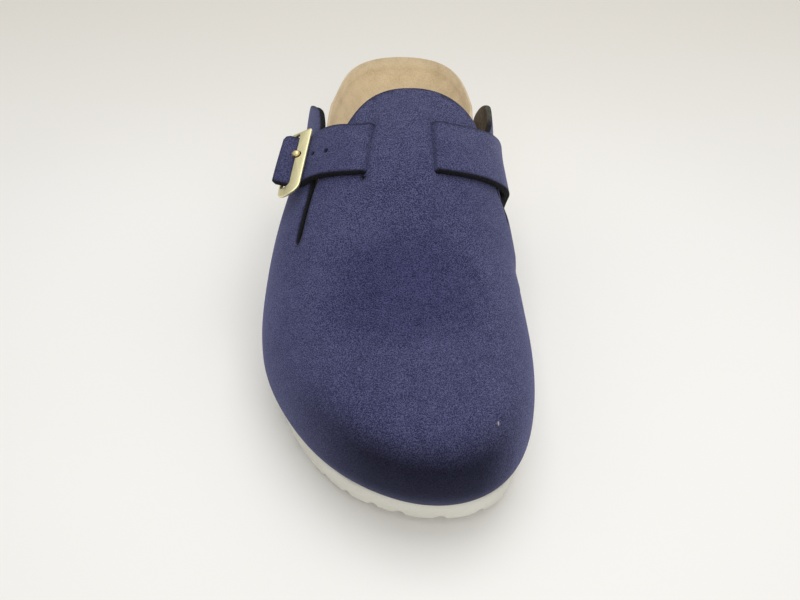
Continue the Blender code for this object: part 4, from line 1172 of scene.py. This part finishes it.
class Graph:
    """Short calls for building one material's nodes."""

    def __init__(self, name):
        self.material = bpy.data.materials.new(name)
        self.material.use_nodes = True
        self.nodes = self.material.node_tree.nodes
        self.links = self.material.node_tree.links
        self.shader = self.nodes["Principled BSDF"].inputs
        self.where = self.nodes.new("ShaderNodeTexCoord").outputs["Object"]

    def feed(self, socket, value):
        """Sets a socket to a number or a colour, or links another socket to it."""
        if isinstance(value, tuple):
            socket.default_value = (*value, 1.0)
        elif isinstance(value, (int, float)):
            socket.default_value = value
        else:
            self.links.new(value, socket)

    def node(self, kind, feeds, **settings):
        """A new node with its settings made and its inputs fed."""
        node = self.nodes.new("ShaderNode" + kind)
        for name, value in settings.items():
            setattr(node, name, value)
        for key, value in feeds.items():
            self.feed(node.inputs[key], value)
        return node

    def set(self, rough=0.5, specular=0.5, metallic=0.0, sheen=0.0, sheen_tint=(1, 1, 1)):
        self.feed(self.shader["Roughness"], rough)
        self.shader["Specular IOR Level"].default_value = specular
        self.shader["Metallic"].default_value = metallic
        self.shader["Sheen Weight"].default_value = sheen
        self.shader["Sheen Roughness"].default_value = 0.5
        self.shader["Sheen Tint"].default_value = (*sheen_tint, 1.0)

    def place(self):
        """The shoe's own X, Y and Z at each point, in metres."""
        return self.node("SeparateXYZ", {"Vector": self.where}).outputs

    def rising(self, value, low_mm, high_mm):
        """A soft step from 0 at the first place to 1 at the second."""
        ends = sorted((low_mm * MM, high_mm * MM))
        feeds = {"Value": value, "From Min": ends[0], "From Max": ends[1]}
        step = self.node("MapRange", feeds, interpolation_type="SMOOTHSTEP").outputs["Result"]
        return step if low_mm < high_mm else self.math("SUBTRACT", 1.0, step)

    def within(self, *spans):
        """The product of soft steps, each given by its axis, its place of 0 and its place of 1."""
        place = self.place()
        share = 1.0
        for axis, low_mm, high_mm in spans:
            share = self.math("MULTIPLY", self.rising(place[axis], low_mm, high_mm), share)
        return share

    def spot(self, x_mm, y_mm, reach_x, reach_y):
        """1 at a place in plan, falling softly to 0 at its reach."""
        place = self.place()
        squares = []
        for axis, middle, reach in (("X", x_mm, reach_x), ("Y", y_mm, reach_y)):
            away = self.math("DIVIDE", self.math("SUBTRACT", place[axis], middle * MM), reach * MM)
            squares.append(self.math("MULTIPLY", away, away))
        return self.rising(self.math("ADD", *squares), 1.0 / MM, 0.0)

    def attribute(self, name):
        return self.node("Attribute", {}, attribute_name=name).outputs["Fac"]

    def shaded(self, share, tone, factor):
        """The tone times a factor where the share is 1."""
        return self.mix(share, tone, self.mix(1.0, tone, factor, "MULTIPLY"))

    def noise(self, size_mm, detail=3.0, rough=0.55):
        feeds = {"Vector": self.where, "Scale": 1 / (size_mm * MM), "Detail": detail, "Roughness": rough}
        return self.node("TexNoise", feeds).outputs["Fac"]

    def cells(self, size_mm):
        outputs = self.node("TexVoronoi", {"Vector": self.where, "Scale": 1 / (size_mm * MM)}).outputs
        return outputs["Color"], outputs["Distance"]

    def math(self, kind, a, b):
        return self.node("Math", {0: a, 1: b}, operation=kind).outputs["Value"]

    def weighed(self, *pairs):
        """The sum of sockets times their weights."""
        total = 0.0
        for socket, weight in pairs:
            total = self.math("ADD", self.math("MULTIPLY", socket, weight), total)
        return total

    def ramp(self, value, *stops):
        node = self.node("ValToRGB", {"Fac": value})
        elements = node.color_ramp.elements
        while len(elements) < len(stops):
            elements.new(0.5)
        for element, (at, colour) in zip(elements, stops):
            element.position = at
            element.color = (*colour, 1.0)
        return node.outputs["Color"]

    def mix(self, share, a, b, kind="MIX"):
        return self.node("Mix", {0: share, 6: a, 7: b}, data_type="RGBA", blend_type=kind).outputs[2]

    def colour(self, socket):
        self.feed(self.shader["Base Color"], socket)

    def bump(self, height, depth_mm, strength=1.0):
        node = self.node("Bump", {"Height": height, "Distance": depth_mm * MM, "Strength": strength})
        self.feed(self.shader["Normal"], node.outputs["Normal"])


def nubuck():
    """Brushed navy hide: fine speckle, a lighter tongue, painted light on the medial side and painted shade
    round the toe's front.
    """
    g = Graph("nubuck_face")
    grain = g.noise(0.36, 1.5, 0.5)
    patch = g.noise(5.0, 3.0, 0.6)
    cloud = g.noise(38.0, 2.0, 0.5)
    shade = g.weighed((grain, 0.80), (patch, 0.10), (cloud, 0.10))
    contrast = g.math("ADD", 1.0, g.math("MULTIPLY", g.spot(*VAMP_GRAIN), VAMP_GRAIN_GAIN))
    shade = g.math("ADD", 0.5, g.math("MULTIPLY", g.math("SUBTRACT", shade, 0.5), contrast))
    tone = g.ramp(shade, (0.39, NAVY_DARK), (0.50, NAVY), (0.61, NAVY_LIGHT))
    # Tone steps over the hide, among them painted shade on the toe's front and painted light on the medial
    # side.
    for spans, factor in HIDE_TONES_AND_PAINTED_LIGHT:
        tone = g.shaded(g.within(*spans), tone, factor)
    tone = g.shaded(g.spot(*VAMP), tone, VAMP_TONE)
    tone = g.mix(g.spot(*SPECK), tone, SPECK_TONE)
    # The rim marks darken the hide at its cut edges and, on the strap, give the painted shade beside the
    # slits.
    edge = g.math("POWER", g.attribute("rim"), 1.4)
    g.colour(g.shaded(edge, tone, RIM_TONE))
    g.set(rough=0.9, specular=0.12, sheen=0.20, sheen_tint=(0.50, 0.54, 0.95))
    g.bump(grain, 0.14, 0.8)
    return g.material


def cut_edge():
    """Dark fibres of the cut hide, paler grey at the rear of the quarters: fraying fibres there, and painted
    light.
    """
    g = Graph("cut_edge")
    fibre = g.noise(0.6, 4.0, 0.75)
    dark = g.ramp(fibre, (0.35, (0.005, 0.005, 0.006)), (0.70, (0.024, 0.023, 0.026)))
    frayed_and_lit = g.ramp(fibre, (0.35, (0.020, 0.019, 0.018)), (0.65, (0.150, 0.140, 0.120)))
    # Paler grey at the rear: partly fraying fibres, partly painted light on the edges that face up.
    g.colour(g.mix(g.within(FRAYED_AND_LIT), dark, frayed_and_lit))
    g.set(rough=0.95, specular=0.15)
    g.bump(fibre, 0.5)
    return g.material


def lining():
    g = Graph("hide_lining")
    fibre = g.noise(1.1, 5.0, 0.7)
    shade = g.weighed((fibre, 0.6), (g.noise(9.0, 2.0), 0.4))
    g.colour(g.ramp(shade, (0.35, (0.075, 0.058, 0.044)), (0.65, (0.200, 0.162, 0.125))))
    g.set(rough=0.95, specular=0.15)
    g.bump(fibre, 0.4)
    return g.material


def suede():
    g = Graph("footbed_suede_face")
    nap = g.noise(0.8, 4.0, 0.7)
    shade = g.weighed((nap, 0.45), (g.noise(7.0, 3.0), 0.35), (g.noise(30.0, 2.0), 0.20))
    tone = g.ramp(shade, (0.38, SUEDE_DARK), (0.50, SUEDE), (0.61, SUEDE_LIGHT))
    g.colour(g.shaded(g.within(*SUEDE_PALE_BAND), tone, SUEDE_PALE_BAND_TONE))
    g.set(rough=0.95, specular=0.15, sheen=0.2)
    g.bump(nap, 0.25)
    return g.material


def cork():
    g = Graph("cork_side")
    crumb, gap = g.cells(2.2)
    fine, _ = g.cells(0.9)
    g.colour(g.ramp(g.mix(0.4, crumb, fine), (0.2, (0.14, 0.075, 0.032)), (0.5, (0.33, 0.20, 0.095)),
                    (0.8, (0.45, 0.30, 0.16))))
    g.set(rough=0.8, specular=0.3)
    g.bump(gap, 0.2)
    return g.material


def foam():
    g = Graph("sole_foam_face")
    pore = g.noise(0.7, 3.0, 0.65)
    shade = g.weighed((g.noise(26.0, 2.0), 0.6), (pore, 0.4))
    g.colour(g.ramp(shade, (0.35, FOAM_DARK), (0.62, FOAM)))
    g.set(rough=0.62, specular=0.35)
    g.bump(pore, 0.08)
    return g.material


def metal(name, dark, light):
    g = Graph(name)
    brushed = g.noise(0.5, 3.0, 0.7)
    g.colour(g.ramp(brushed, (0.3, dark), (0.7, light)))
    g.set(rough=g.ramp(brushed, (0.3, (0.40, 0.40, 0.40)), (0.7, (0.52, 0.52, 0.52))), metallic=1.0)
    g.bump(brushed, 0.01)
    return g.material


def floor_material():
    """Pale paper, with painted shade: a little darker far behind the shoe and away from it, where the light
    falls off.
    """
    g = Graph("floor_paper")
    paper = g.ramp(g.noise(240.0, 2.0), (0.3, FLOOR_DARK), (0.7, FLOOR))
    # Painted shade: the floor darker away from the shoe and far behind it.
    paper = g.mix(g.spot(*FLOOR_LIT), FLOOR_OUTER_SHADE, paper)
    g.colour(g.mix(g.within(FLOOR_FAR_STEP), paper, FLOOR_FAR_SHADE))
    g.set(rough=0.75, specular=0.2)
    return g.material


# Stage


def make_floor():
    side = FLOOR_HALF
    mesh = bpy.data.meshes.new("floor")
    corners = [(-side, -side, 0), (side, -side, 0), (side, side, 0), (-side, side, 0)]
    mesh.from_pydata(corners, [], [(0, 1, 2, 3)])
    mesh.materials.append(floor_material())
    floor = add_object("floor", mesh)


def area_light(name, place, target, size, power, colour):
    data = bpy.data.lights.new(name, "AREA")
    data.shape = "RECTANGLE"
    data.size, data.size_y = size
    data.energy = power
    data.color = colour
    light = add_object(name, data)
    light.location = place
    light.rotation_euler = (Vector(target) - Vector(place)).to_track_quat("-Z", "Y").to_euler()


def make_lights():
    for row in LIGHTS:
        area_light(*row)
    world = bpy.data.worlds.new("studio")
    world.use_nodes = True
    back = world.node_tree.nodes["Background"]
    back.inputs["Color"].default_value = (*WORLD_COLOUR, 1.0)
    back.inputs["Strength"].default_value = WORLD_STRENGTH
    bpy.context.scene.world = world
    bpy.context.scene.view_settings.view_transform = "Standard"


def make_camera():
    tilt, roll = math.radians(CAMERA_ELEVATION), math.radians(CAMERA_ROLL)
    ahead = Vector((0, math.cos(tilt), -math.sin(tilt)))
    right = Vector((1, 0, 0))
    up = Vector((0, math.sin(tilt), math.cos(tilt)))
    turned_right = right * math.cos(roll) + up * math.sin(roll)
    turned_up = up * math.cos(roll) - right * math.sin(roll)
    data = bpy.data.cameras.new("photo_view")
    data.lens = CAMERA_LENS
    data.sensor_width = CAMERA_SENSOR
    data.sensor_fit = "HORIZONTAL"
    data.clip_start = 0.01
    camera = add_object("photo_view", data)
    basis = Matrix((turned_right, turned_up, -ahead)).transposed().to_4x4()
    place = (np.array(CAMERA_PLACE) - MIDDLE) * MM
    camera.matrix_world = Matrix.Translation(Vector(place)) @ basis
    bpy.context.scene.camera = camera


def main():
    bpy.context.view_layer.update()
    hide = [nubuck(), cut_edge(), lining()]
    make_upper(hide)
    make_strap(hide)
    make_tab(hide)
    make_footbed(suede(), cork())
    make_sole(foam())
    make_frame(metal("frame_brass", FRAME_DARK, FRAME_METAL))
    make_prong(metal("prong_brass", PRONG_DARK, PRONG_METAL))
    make_floor()
    make_lights()
    make_camera()


main()
